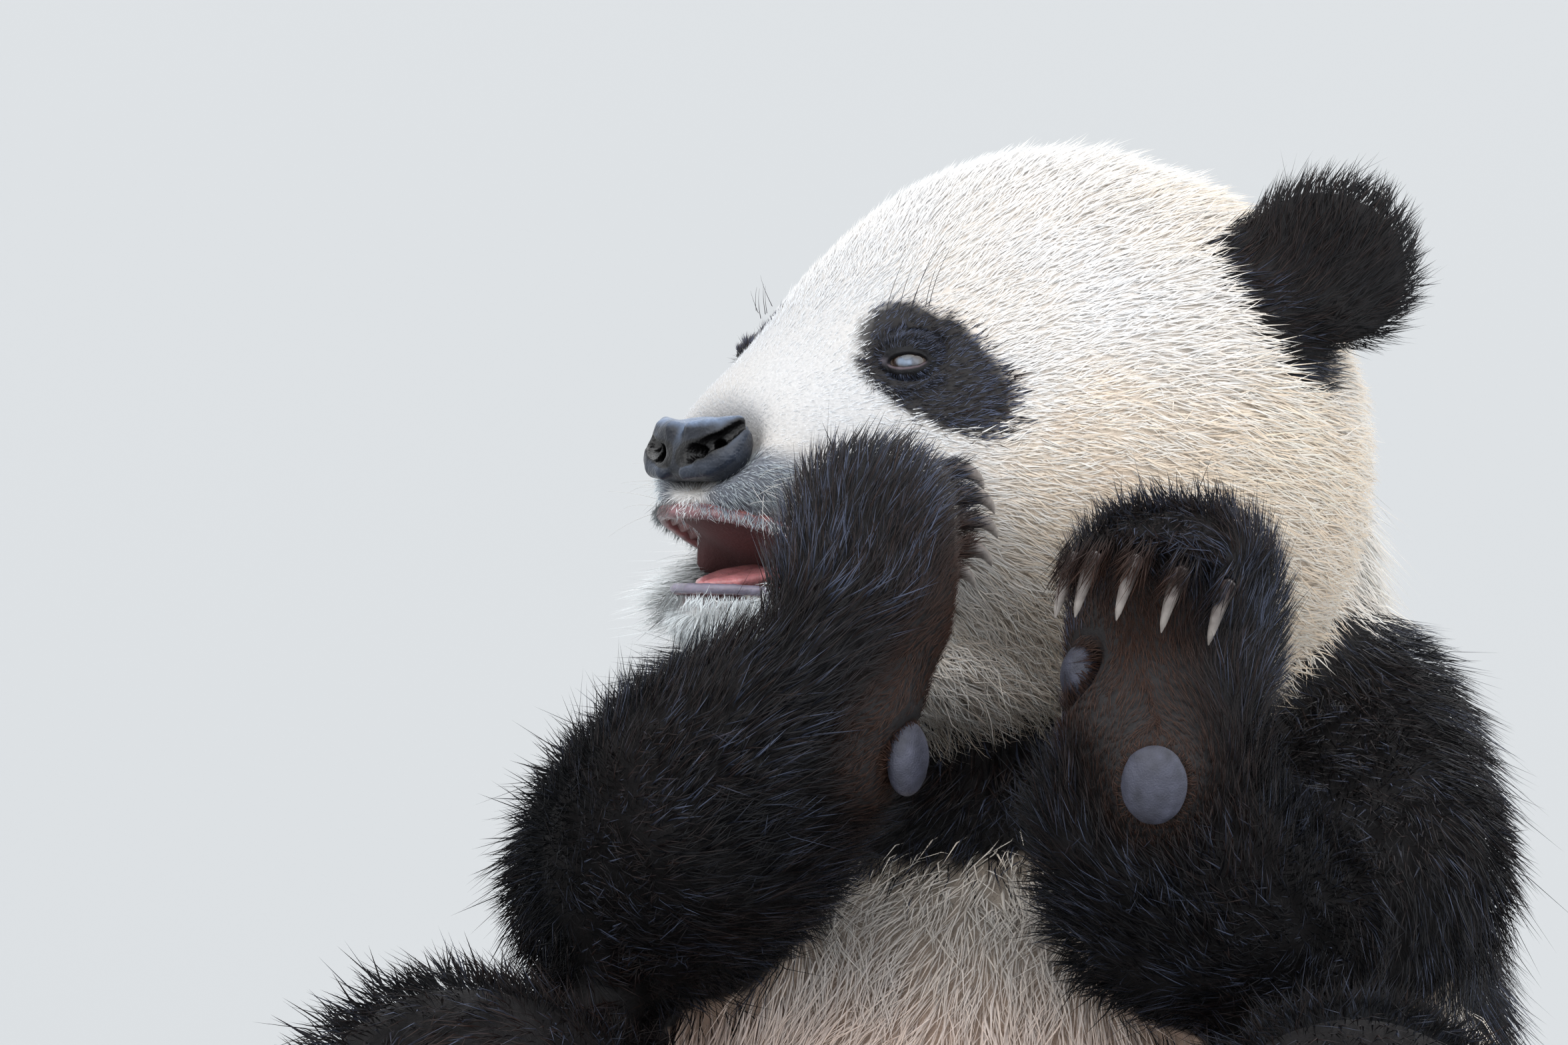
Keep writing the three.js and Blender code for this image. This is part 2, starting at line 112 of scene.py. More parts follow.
# ---------------------------------------------------------------- the head's own directions
HEAD_AT = np.array([14.0, 20.0, 550.0])
FORWARD = np.array([-0.61871, -0.69382, 0.36853])
ACROSS = np.array([0.76515, -0.63857, 0.08237])  # to the animal's left
CROWN = np.array([0.17818, 0.33294, 0.92596])
HEAD_AXES = np.stack([FORWARD, ACROSS, CROWN])


def to_head(p):
    """World mm to head mm: forward, left, up."""
    return (np.asarray(p) - HEAD_AT) @ HEAD_AXES.T


def from_head(p):
    return HEAD_AT + np.asarray(p, float) @ HEAD_AXES


def turn_to_world(v):
    return np.asarray(v, float) @ HEAD_AXES


# ---------------------------------------------------------------- noise
def _lattice(i, seed):
    n = (i[..., 0] * 73856093) ^ (i[..., 1] * 19349663) ^ (i[..., 2] * 83492791) ^ (seed * 40503 + 977)
    n = (n ^ (n >> 13)) * 1274126177
    n ^= n >> 16
    return (n & 0xFFFF) / 32767.5 - 1


def cell_corners(f):
    """The eight corners of a cell, each with its share at a place inside the cell."""
    for dx in (0, 1):
        wx = f[:, 0] if dx else 1 - f[:, 0]
        for dy in (0, 1):
            wy = f[:, 1] if dy else 1 - f[:, 1]
            for dz in (0, 1):
                yield np.array([dx, dy, dz]), wx * wy * (f[:, 2] if dz else 1 - f[:, 2])


def noise(p, size, seed=0):
    """Smooth noise from -1 to 1 whose lumps are about size across."""
    q = np.asarray(p) / size + seed * 7.31
    i = np.floor(q).astype(np.int64)
    f = q - i
    f = f * f * (3 - 2 * f)
    out = np.zeros(len(q))
    for corner, share in cell_corners(f):
        out += share * _lattice(i + corner, seed)
    return out


def mottled(colour, p, amount, size, seed):
    return colour * (1 + amount * noise(p, size, seed))[:, None]


# ---------------------------------------------------------------- the solids as distances
GROUPS = {
    "head": ["head", "jaw"],
    "ear_left": ["ear_left"],
    "ear_right": ["ear_right"],
    "neck": ["neck"],
    "trunk": ["trunk"],
    "tail": ["tail"],
}
for side in SIDES:
    for part in ("upper_arm", "forearm", "forepaw", "thigh", "shank", "foot"):
        GROUPS[f"{part}_{side}"] = [f"{part}_{side}"]
FLESH = [n for names in GROUPS.values() for n in names]

VOXEL = 4.7
COARSE = 9.4


def node_mesh(name):
    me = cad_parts[name].data
    me.calc_loop_triangles()
    co = np.empty(len(me.vertices) * 3, np.float32)
    me.vertices.foreach_get("co", co)
    tri = np.empty(len(me.loop_triangles) * 3, np.int32)
    me.loop_triangles.foreach_get("vertices", tri)
    return co.reshape(-1, 3) / MM, tri.reshape(-1, 3).astype(np.uint32)


def distances(points, tris, voxel, band):
    spacing = vdb.createLinearTransform(voxelSize=voxel)
    return vdb.FloatGrid.createLevelSetFromPolygons(
        points.astype(np.float32), triangles=tris, transform=spacing, halfWidth=float(band)
    )


low = np.floor((np.array(cad_lo) / MM - 24) / COARSE).astype(int)
high = np.ceil((np.array(cad_hi) / MM + 24) / COARSE).astype(int)
coarse_shape = tuple(high - low + 1)
fine_low = low * 2
fine_shape = tuple(2 * n - 1 for n in coarse_shape)


def dense(grid, start, shape):
    out = np.empty(shape, np.float32)
    grid.copyToArray(out, ijk=tuple(int(v) for v in start))
    return out


def near(grid, points, voxel, band, start, into):
    """Adds one solid's distances to a dense field by taking the nearer."""
    a = np.maximum(np.floor(points.min(0) / voxel).astype(int) - band - 1, start)
    b = np.minimum(np.ceil(points.max(0) / voxel).astype(int) + band + 1, start + np.array(into.shape) - 1)
    where = tuple(slice(x, y) for x, y in zip(a - start, b - start + 1))
    np.minimum(into[where], dense(grid, a, tuple(b - a + 1)), out=into[where])


def smoothed(a, passes):
    """A soft blur, done in two kept buffers because new ones of this size are slow to get."""
    a = np.array(a, np.float32, order="C")
    o, spare = np.empty_like(a), np.empty_like(a)
    for axis in range(3):
        mid, left, right = ([slice(None)] * 3 for _ in range(3))
        mid[axis], left[axis], right[axis] = slice(1, -1), slice(None, -2), slice(2, None)
        mid, left, right = tuple(mid), tuple(left), tuple(right)
        for _ in range(passes):
            o[...] = a
            np.add(a[left], a[right], out=spare[mid])
            spare[mid] *= 0.25
            o[mid] *= 0.5
            o[mid] += spare[mid]
            a, o = o, a
    return a


def finer(a):
    for axis in range(3):
        v = np.moveaxis(a, axis, 0)
        o = np.empty((2 * v.shape[0] - 1,) + v.shape[1:], np.float32)
        o[::2] = v
        o[1::2] = 0.5 * (v[:-1] + v[1:])
        a = np.moveaxis(o, 0, axis)
    return a


def sample(field, voxel, start, p):
    q = np.asarray(p) / voxel - start
    q = np.clip(q, 0, np.array(field.shape) - 1.001)
    i = q.astype(int)
    f = q - i
    out = np.zeros(len(q))
    for corner, share in cell_corners(f):
        out += share * field[tuple((i + corner).T)]
    return out


def joined(names, voxel, band, start, shape):
    """Distances to the nearest of some solids, out to band cells."""
    field = np.full(shape, band * voxel, np.float32)
    for name in names:
        co, tri = node_mesh(name)
        near(distances(co, tri, voxel, band), co, voxel, band, start, field)
    return field


FAR, CLOSE, BAND = 8, 3, 9  # how many cells out a distance is kept
PROUD = 0.6
coarse = {group: joined(names, COARSE, FAR, low, coarse_shape) for group, names in GROUPS.items()}

# The solids meet across gaps of 0.4 mm, so they are joined a little proud and measured again as one.
grid = vdb.FloatGrid(CLOSE * VOXEL)
grid.copyFromArray(joined(FLESH, VOXEL, CLOSE, fine_low, fine_shape), ijk=tuple(int(v) for v in fine_low))
points, quads = grid.convertToQuads(isovalue=PROUD)
points, quads = np.asarray(points) * VOXEL, np.asarray(quads)
tris = np.concatenate([quads[:, [0, 1, 2]], quads[:, [0, 2, 3]]]).astype(np.uint32)
hull = dense(distances(points, tris, VOXEL, BAND), fine_low, fine_shape) + PROUD

# ---------------------------------------------------------------- how deep the coat is
EYE_AT = {side: np.array([138.0, 52.0 * way, 0.0]) for side, way in SIDES.items()}
EYE_RADIUS = 11.0
SOCKET_RADIUS = 14.2
EAR_AT = {side: np.array([-9.0, 123.0 * way, 90.0]) for side, way in SIDES.items()}
PADS = {
    "wrist_left": ([106, -300, 452], [14, 9, 17], (0.1, 0, 0.2)),
    "thumb_left": ([65, -242, 489], [11, 10, 15], (0, 0, -0.5)),
    "wrist_right": ([-2, -270, 456], [8, 13, 16], (0, 0, -0.3)),
    "thumb_right": ([-6, -226, 506], [12, 9, 14], (0, 0, 0.3)),
}
DEPTH = {
    "head": 9, "ear": 4, "neck": 16, "trunk": 17, "tail": 14,
    "upper_arm": 14, "forearm": 12, "forepaw": 6, "thigh": 15, "shank": 12, "foot": 8,
}


def kind(group):
    return group.rsplit("_", 1)[0] if group.endswith(("left", "right")) else group


BLEND = 7.0  # mm over which one part's depth passes into the next one's
weight = np.zeros(coarse_shape, np.float32)
depth = np.zeros(coarse_shape, np.float32)
for group, f in coarse.items():
    w = np.exp(-np.clip(f, -40, 60) / BLEND)
    weight += w
    depth += w * DEPTH[kind(group)]
depth /= weight
depth = finer(smoothed(depth, 2))


def face_box(lo, hi):
    """The fine field's cells inside a box of the head, as slices, with each cell's place in head mm."""
    corners = np.array([from_head([x, y, z]) for x in (lo[0], hi[0]) for y in (lo[1], hi[1])
        for z in (lo[2], hi[2])])
    a = np.maximum(np.floor(corners.min(0) / VOXEL).astype(int) - fine_low, 0)
    b = np.minimum(np.ceil(corners.max(0) / VOXEL).astype(int) - fine_low, np.array(fine_shape) - 1)
    x, y, z = [((fine_low[i] + np.arange(a[i], b[i] + 1)) * VOXEL) for i in range(3)]
    g = np.stack(np.meshgrid(x, y, z, indexing="ij"), -1)
    return tuple(slice(a[i], b[i] + 1) for i in range(3)), to_head(g)


def from_eye(h, centre):
    """Distance in head mm from the middle of an eye's short hair."""
    return np.linalg.norm(h - (centre + [8, 5 * np.sign(centre[1]), 0]), axis=-1)


def throat_share(h, d):
    return step(-h[:, 2], 62, 92) * step(120 - h[:, 0], 0, 50) * (d["head"] < 4)


def head_depth(h):
    """The coat's depth over the head, from the bare nose back."""
    a, b, c = h[..., 0], np.abs(h[..., 1]), h[..., 2]
    d = mix(2.4, 9.0, step(188 - a, 0, 130))
    d = mix(d, 11.5, step(b, 95, 145) * step(100 - a, 0, 60))  # cheeks
    d = mix(d, 6.5, step(c, 60, 120))  # crown
    d = mix(d, 3.2, step(a, 130, 165) * step(b, 18, 40) * step(-c, 55, 80))  # lips
    for centre in EYE_AT.values():
        d = mix(d, 4.0, 1 - step(from_eye(h, centre), 16, 46))
    return d


where, h = face_box((-130, -165, -150), (230, 165, 155))
head_share = 1 - step(sample(coarse["head"], COARSE, low,
    from_head(h.reshape(-1, 3))).reshape(h.shape[:-1]), -2.0, 12.0)
depth[where] = mix(depth[where], head_depth(h), head_share)
for at, *_ in PADS.values():  # the skin comes up to the bare pads
    centre = to_head(np.array(at, float))
    where, h = face_box(centre - 46, centre + 46)
    r = np.linalg.norm(h - centre, axis=-1)
    depth[where] = mix(depth[where], 2.5, 1 - step(r, 20, 44))

z = (fine_low[2] + np.arange(fine_shape[2])) * VOXEL
depth *= mix(0.12, 1.0, step(z, 0, 34)).astype(np.float32)[None, None, :]
depth += hull
REST_HEIGHT = 1.2
skin_field = smoothed(depth, 3)
# the flats it rests on
np.maximum(skin_field, (REST_HEIGHT - z).astype(np.float32)[None, None, :], out=skin_field)

# The eye sockets, under the lids.
round_eye_field = {}
for side, way in SIDES.items():
    centre = EYE_AT[side]
    where, h = face_box(centre - 34, centre + 34)
    round_eye_field[side] = (skin_field[where].copy(), fine_low + np.array([w.start for w in where]))
    ball = SOCKET_RADIUS - np.linalg.norm(h - centre, axis=-1)
    skin_field[where] = np.maximum(skin_field[where], ball)

grid = vdb.FloatGrid(BAND * VOXEL)
grid.copyFromArray(np.ascontiguousarray(skin_field, np.float32), ijk=tuple(int(v) for v in fine_low))
points, _, quads = grid.convertToPolygons(isovalue=0.0, adaptivity=0.0)
points, quads = np.asarray(points) * VOXEL, np.asarray(quads).astype(np.int64)[:, ::-1]


def largest(points, quads):
    """Keeps the biggest connected body, and drops bubbles left between the solids."""
    label = np.arange(len(points))
    edges = np.concatenate([quads[:, [0, 1]], quads[:, [1, 2]], quads[:, [2, 3]]])
    while True:
        m = np.minimum(label[edges[:, 0]], label[edges[:, 1]])
        new = label.copy()
        np.minimum.at(new, edges[:, 0], m)
        np.minimum.at(new, edges[:, 1], m)
        new = new[new]
        new = new[new]
        if (new == label).all():
            break
        label = new
    names, counts = np.unique(label, return_counts=True)
    keep = label == names[counts.argmax()]
    index = np.cumsum(keep) - 1
    return points[keep], index[quads[keep[quads[:, 0]]]]


points, quads = largest(points, quads)


def across_faces(p, q):
    """Each face's normal, twice as long as the face is large."""
    return np.cross(p[q[:, 2]] - p[q[:, 0]], p[q[:, 3]] - p[q[:, 1]])


def vertex_normals(p, q):
    n = across_faces(p, q)
    out = np.zeros_like(p)
    for k in range(4):
        for axis in range(3):
            out[:, axis] += np.bincount(q[:, k], n[:, axis], len(p))
    return unit(out)


def facing_out(p, q):
    n = vertex_normals(p, q)
    return (q[:, ::-1], -n) if (n * (p - p.mean(0))).sum(1).mean() < 0 else (q, n)


quads, normals = facing_out(points, quads)
links = np.concatenate([quads[:, [i, (i + 1) % 4]] for i in range(4)])
degree = np.maximum(np.bincount(links[:, 0], minlength=len(points))
    + np.bincount(links[:, 1], minlength=len(points)), 1)


def spread(values, rounds):
    """Evens a value out over neighbouring points of the skin."""
    v = values.astype(float)
    flat = v.ndim == 1
    v = v[:, None] if flat else v
    for _ in range(rounds):
        o = np.empty_like(v)
        for k in range(v.shape[1]):
            o[:, k] = sum(np.bincount(links[:, i], v[links[:, 1 - i], k], len(v)) for i in (0, 1))
        v = 0.4 * v + 0.6 * o / degree[:, None]
    return v[:, 0] if flat else v


# ---------------------------------------------------------------- the mouth
UPPER_LIP = [
    [138, 42, -88], [152, 44, -87], [166, 41, -86], [178, 35.5, -85.5],
    [188, 29, -85.5], [196, 21, -85.5], [201.5, 11, -86], [203, 0, -86.5],
]
LOWER_LIP = [
    [128, 41, -104], [142, 38.5, -107], [156, 34.5, -110.5], [168, 29.5, -113],
    [177.5, 22.5, -115], [184, 12.5, -116.8], [186.5, 0, -117.6],
]


def in_mouth(h):
    """How far inside the open mouth a place of the head is, in mm."""
    a, b, c = h[:, 0], np.abs(h[:, 1]), h[:, 2]
    up, down = np.array(UPPER_LIP, float), np.array(LOWER_LIP, float)
    top, bottom = np.interp(a, up[:, 0], up[:, 2]), np.interp(a, down[:, 0], down[:, 2])
    wide_top = np.interp(a, np.append(up[:, 0], 206), np.append(up[:, 1], 0))
    wide_low = np.interp(a, np.append(down[:, 0], 189), np.append(down[:, 1], 0))
    wide = mix(wide_low, wide_top, step(c, -108, -92)) * step(a, 60, 90) - 10 * step(134 - a, 0, 14)
    return np.minimum(np.minimum(top + 1 - c, c - bottom + 1), wide - b)


# ---------------------------------------------------------------- markings
HIP = {side: np.array([112.0 * way, -40.0, 128.0]) for side, way in SIDES.items()}
KNEE_WAY = {side: unit([40.0 * way, -90.0, 64.0]) for side, way in SIDES.items()}


def distances_at(p):
    return {g: sample(f, COARSE, low, p) for g, f in coarse.items()}


CLEAR = -60.0  # well outside every black marking


def markings(p, d, rough=1.0):
    """How far inside the black a place is, in mm, from its place and its distances to the parts."""
    h = to_head(p)
    a, b, c = h[:, 0], h[:, 1], h[:, 2]
    ragged = (noise(p, 11, 3) * 0.6 + noise(p, 5, 5) * 0.4) * rough
    wide = noise(p, 30, 8) * rough
    torso = np.minimum(np.minimum(d["trunk"], d["neck"]), d["tail"])
    head = d["head"]
    black = np.full(len(p), CLEAR)
    # Round each eye, a teardrop that falls outward over the cheek.
    side = np.where(b > 0, b, -b - 7)  # the far patch sits a little further out
    along, beside = (side - 47) * 0.8 - (c - 12) * 0.6, (side - 47) * 0.6 + (c - 12) * 0.8
    round_eye = (np.abs((along - 22.5) / 38.5) ** 2.2
        + np.abs(beside / np.where(along < 4, 16.5, 19.5)) ** 2.2) ** (1 / 2.2)
    patch = np.where((a > 95) & (head < 12), (1 - round_eye) * 19 + 1.6 * ragged, CLEAR)
    black = np.maximum(black, patch)
    # The ears, and the hair at their roots.
    for name, way in SIDES.items():
        ear = d[f"ear_{name}"]
        r = np.linalg.norm(h - np.array([-2.0, 128.0 * way, 84.0]), axis=1)
        black = np.maximum(black, np.where(ear < 14, 49 - r + 3.0 * ragged, CLEAR))
        black = np.maximum(black, np.where((ear < 2) & (r < 75), 6 - ear, CLEAR))
    # Forelegs, and the band over the shoulders that joins them.
    body_side = np.minimum(torso, head)
    for name in SIDES:
        arm = np.minimum(np.minimum(d[f"upper_arm_{name}"], d[f"forearm_{name}"]), d[f"forepaw_{name}"])
        black = np.maximum(black, np.where(arm < 30, body_side - arm + 8 + 4 * ragged + 4 * wide, CLEAR))
        leg = np.minimum(d[f"shank_{name}"], d[f"foot_{name}"])
        reach = (p - HIP[name]) @ KNEE_WAY[name]
        inner = 112 + 0.341 * reach - p[:, 0] * SIDES[name]
        if name == "right":  # the belly's long hair lies over the top of this thigh
            border = mix(52.0, 285.0, step(inner, -45, 25)) - 70 * step(inner, 30, 80)
        else:
            border = mix(52.0, 190.0, step(inner, -5, 55))
        thigh = np.minimum(reach - border + 14 * wide + 9 * ragged,
            torso - d[f"thigh_{name}"] + 10 + 5 * ragged)
        black = np.maximum(black, np.where(d[f"thigh_{name}"] < 16, thigh, CLEAR))
        black = np.maximum(black, np.where(leg < 16, np.minimum(torso - leg + 12, 30), CLEAR))
    front = step(-p[:, 1], -20, 130)
    lower = mix(296.0, 394.0, front) + 8 * wide + 7 * ragged
    upper = 487.0 + 4 * wide + 4 * ragged
    band = np.minimum(upper - p[:, 2], p[:, 2] - lower)
    band = np.where((head < torso - 2) & (p[:, 2] > 440), CLEAR, band)
    black = np.maximum(black, np.where(torso < 30, band, CLEAR))
    return black


CREAM = np.array([0.97, 0.89, 0.78])
TAN = np.array([0.80, 0.66, 0.53])
SNOW = np.array([0.895, 0.888, 0.880])
DUSK = np.array([0.66, 0.62, 0.58])
ROSE = np.array([0.80, 0.63, 0.55])


def white_coat(p, d):
    """The pale coat's colour by place: snow on the crown, cream on the cheeks, dusky on the belly."""
    h = to_head(p)
    a, b, c = h[:, 0], np.abs(h[:, 1]), h[:, 2]
    on_head = step(np.minimum(d["trunk"], d["neck"]) - d["head"], -30, 30)
    low_cheek = step(b, 70, 135) * step(-c, -45, 45) * step(150 - a, 0, 60)
    warm = np.clip(0.05 + 0.62 * step(95 - a, 0, 110) * step(b, 10, 70) + 0.95 * low_cheek
        + 0.25 * step(-c, 40, 100) * step(140 - a, 0, 50), 0, 1)
    warm = np.clip(warm + 0.22 * noise(p, 34, 21), 0, 1)
    colour = tint(SNOW, CREAM, warm)
    colour = tint(colour, TAN, 0.42 * low_cheek * step(noise(p, 16, 22), -0.3, 0.9))
    body = mix(CREAM, DUSK, step(430 - p[:, 2], 0, 60)[:, None] * step(-p[:, 1], -20, 110)[:, None])
    body = tint(body, TAN, 0.16 * step(noise(p, 40, 23), -0.2, 0.8))
    body = tint(body, ROSE, step(380 - p[:, 2], 0, 70) * step(-p[:, 1], 40, 150))
    body = tint(body, [0.95, 0.91, 0.85], 0.7 * step(p[:, 2], 440, 480))
    # Painted light: the pale hair under the chin and lower muzzle is tinted blue and lifted, standing in for
    # cool skylight in the shade there.
    painted_skylight = step(a, 120, 175) * step(-c, 70, 95)
    colour = colour * tint(1.0, [1.0, 1.08, 1.13], painted_skylight)
    bridge = step(a, 118, 165) * step(c, -66, -44)
    colour = colour * tint(1.0, [0.825, 0.852, 0.889], bridge)
    grey = step(a, 164, 182) * step(-c, 50, 62) * step(b, 7, 17) * step(c, -96, -86)
    colour = tint(colour, [0.17, 0.205, 0.27], 0.88 * grey)
    return mix(body, colour, on_head[:, None])


BLACK = np.array([0.0048, 0.0049, 0.0068])
RUST = np.array([0.050, 0.024, 0.016])
# the blue-grey painted on some black tufts as a painted sheen
PAINTED_SHEEN = np.array([0.070, 0.084, 0.132])

# ---------------------------------------------------------------- the lie of the coat
ARM_LINE = {
    "left": {
        "upper_arm": [[112, 68, 420], [135, 12, 392], [149, -52, 372], [140, -100, 366]],
        "forearm": [[134, -104, 368], [120, -152, 372], [104, -206, 396], [96, -240, 434], [98, -246, 452]],
        "forepaw": [[99, -240, 468], [99, -212, 495], [98, -198, 524], [98, -205, 545], [96, -262, 538]],
    },
    "right": {
        "upper_arm": [[-126, 48, 398], [-136, -26, 384], [-138, -100, 378], [-136, -148, 380]],
        "forearm": [[-138, -150, 382], [-122, -190, 396], [-86, -234, 433], [-46, -260, 472],
            [-36, -262, 484]],
        "forepaw": [[-32, -260, 488], [-25, -254, 518], [-23, -238, 546], [-14, -205, 552], [4, -176, 548]],
    },
}
LEG_LINE = {
    "thigh": [[112, -40, 128], [152, -130, 192], [180, -222, 262], [190, -288, 297]],
    "shank": [[192, -300, 290], [198, -352, 216], [200, -384, 140], [201, -398, 74]],
    "foot": [[201, -398, 60], [205, -450, 46], [212, -510, 36], [214, -600, 26]],
}


def line_way(p, line):
    """The direction along a line of points, by nearness to each of its lengths."""
    line = np.array(line, float)
    total = np.zeros_like(p)
    for s, e in zip(line[:-1], line[1:]):
        along = e - s
        t = np.clip(((p - s) @ along) / (along @ along), 0, 1)
        gap = np.linalg.norm(p - (s + t[:, None] * along), axis=1)
        total += unit(along) / (gap[:, None] + 8) ** 5
    return unit(total)


def lie_of_coat(p, n, d):
    names = list(d)
    nearest = np.argmin(np.stack([d[g] for g in names]), 0)
    h = to_head(p)
    way = np.zeros_like(p)
    for i, g in enumerate(names):
        m = nearest == i
        if not m.any():
            continue
        q, hq = p[m], h[m]
        part = kind(g)
        side = g.rsplit("_", 1)[-1]
        if part == "head":
            v = hq - np.array([216.0, 0, -56])
            v[:, 0] = np.minimum(v[:, 0], -4)
            v[:, 2] -= 0.35 * np.abs(hq[:, 1]) * step(120 - hq[:, 0], 0, 80)
            v = turn_to_world(unit(v))
        elif part == "ear":
            centre = from_head(EAR_AT[side] * [1, 0.86, 0.6])
            v = unit(q - centre)
        elif part == "neck":
            v = unit(np.array([0.0, 0.15, -1.0]) + 0.4 * unit(q * [1, 1, 0]))
        elif part == "trunk":
            v = np.tile([0.0, 0.0, -1.0], (len(q), 1)) + 0.25 * unit(q * [1, 1, 0])
            under = step(-q[:, 1], 100, 240)[:, None]
            v += under * np.array([0, 0.25, -0.3])
        elif part == "tail":
            v = np.tile([0.0, 0.6, -0.8], (len(q), 1))
        elif part in ("upper_arm", "forearm", "forepaw"):
            v = line_way(q, ARM_LINE[side][part])
            v = v + np.array([0, 0, -0.35]) * (part != "forepaw")
        else:
            line = [[x * SIDES[side], *rest] for x, *rest in LEG_LINE[part]]
            v = line_way(q, line) + np.array([0, 0, -0.25])
        way[m] = unit(v)
    way = spread(way, 6)
    return unit(spread(laid(way, n), 6)), nearest, names


d_skin = distances_at(points)
black_skin = markings(points, d_skin, rough=0.6)
lie, nearest_part, part_names = lie_of_coat(points, normals, d_skin)

# ---------------------------------------------------------------- finishes and meshes
def painted(name, **settings):
    """A finish painted by place: the material, its nodes, its wiring, its shader and the paint."""
    m = bpy.data.materials.new(name)
    m.use_nodes = True
    nodes, wires = m.node_tree.nodes, m.node_tree.links
    shader = nodes["Principled BSDF"]
    for setting, value in settings.items():
        shader.inputs[setting.replace("_", " ")].default_value = value
    paint = nodes.new("ShaderNodeAttribute")
    paint.attribute_name = "Col"
    return m, nodes, wires.new, shader, paint.outputs["Color"]


def speckle(nodes, wire, scale, detail):
    """A noise texture fixed to the object."""
    node, place = nodes.new("ShaderNodeTexNoise"), nodes.new("ShaderNodeTexCoord")
    node.inputs["Scale"].default_value = scale
    node.inputs["Detail"].default_value = detail
    wire(place.outputs["Object"], node.inputs["Vector"])
    return node.outputs["Fac"]


def relief_on(nodes, wire, shader, height, strength, distance, inverted=False):
    bump = nodes.new("ShaderNodeBump")
    bump.inputs["Strength"].default_value = strength
    bump.inputs["Distance"].default_value = distance
    bump.invert = inverted
    wire(height, bump.inputs["Height"])
    wire(bump.outputs["Normal"], shader.inputs["Normal"])


def coat_material(name, rough, gloss, sheen, sheen_tint):
    m, _, wire, shader, paint = painted(
        name, Roughness=rough, Specular_IOR_Level=gloss, Sheen_Weight=sheen,
        Sheen_Roughness=0.4, Sheen_Tint=(*sheen_tint, 1))
    wire(paint, shader.inputs["Base Color"])
    return m


WHITE_HAIR = coat_material("hair_white", 0.62, 0.35, 0.10, (1, 1, 1))
BLACK_HAIR = coat_material("hair_black", 0.40, 0.20, 0.02, (0.75, 0.85, 1.0))


def mesh_object(name, verts, faces, material, colours):
    """A mesh from arrays, in mm; every face has as many corners as the array is wide."""
    me = bpy.data.meshes.new(name)
    verts = np.asarray(verts, np.float32) * MM
    faces = np.asarray(faces, np.int32)
    me.vertices.add(len(verts))
    me.vertices.foreach_set("co", verts.ravel())
    me.loops.add(faces.size)
    me.loops.foreach_set("vertex_index", faces.ravel())
    me.polygons.add(len(faces))
    me.polygons.foreach_set("loop_start", np.arange(0, faces.size, faces.shape[1], dtype=np.int32))
    me.polygons.foreach_set("loop_total", np.full(len(faces), faces.shape[1], np.int32))
    me.polygons.foreach_set("use_smooth", np.full(len(faces), True))
    me.update(calc_edges=True)
    paint = me.color_attributes.new("Col", "FLOAT_COLOR", "POINT")
    paint.data.foreach_set("color", np.concatenate([colours, np.ones((len(colours), 1))],
        1).astype(np.float32).ravel())
    me.materials.append(material)
    o = bpy.data.objects.new(name, me)
    bpy.context.scene.collection.objects.link(o)
    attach(o, "root")
    return o


# ---------------------------------------------------------------- fine shapes
def soft_min(a, b, k):
    h = np.clip(0.5 + 0.5 * (b - a) / k, 0, 1)
    return mix(b, a, h) - k * h * (1 - h)


def rod(p, points, radii):
    """Distance to a line of points whose thickness changes along it."""
    out = np.full(p.shape[:-1], 1e3)
    for s, e, r0, r1 in zip(points[:-1], points[1:], radii[:-1], radii[1:]):
        s, e = np.array(s, float), np.array(e, float)
        t = np.clip(((p - s) @ (e - s)) / ((e - s) @ (e - s)), 0, 1)
        out = np.minimum(out, np.linalg.norm(p - (s + t[..., None] * (e - s)), axis=-1) - mix(r0, r1, t))
    return out


def carved(shape, lo, hi, voxel):
    """A closed mesh of the places where shape(head mm) is below zero, inside a box of the head."""
    lo, hi = np.array(lo, float), np.array(hi, float)
    n = np.ceil((hi - lo) / voxel).astype(int) + 1
    g = np.stack(np.meshgrid(*[lo[i] + voxel * np.arange(n[i]) for i in range(3)], indexing="ij"), -1)
    values = shape(g).astype(np.float32)
    for axis in range(3):
        edge = [slice(None)] * 3
        for end in (0, -1):
            edge[axis] = end
            values[tuple(edge)] = np.maximum(values[tuple(edge)], voxel)
    cells = vdb.FloatGrid(8.0)
    cells.copyFromArray(values)
    p, q = cells.convertToQuads(isovalue=0.0)
    p, q = np.asarray(p) * voxel + lo, np.asarray(q).astype(np.int64)[:, ::-1]
    p = from_head(p)
    return p, facing_out(p, q)[0]


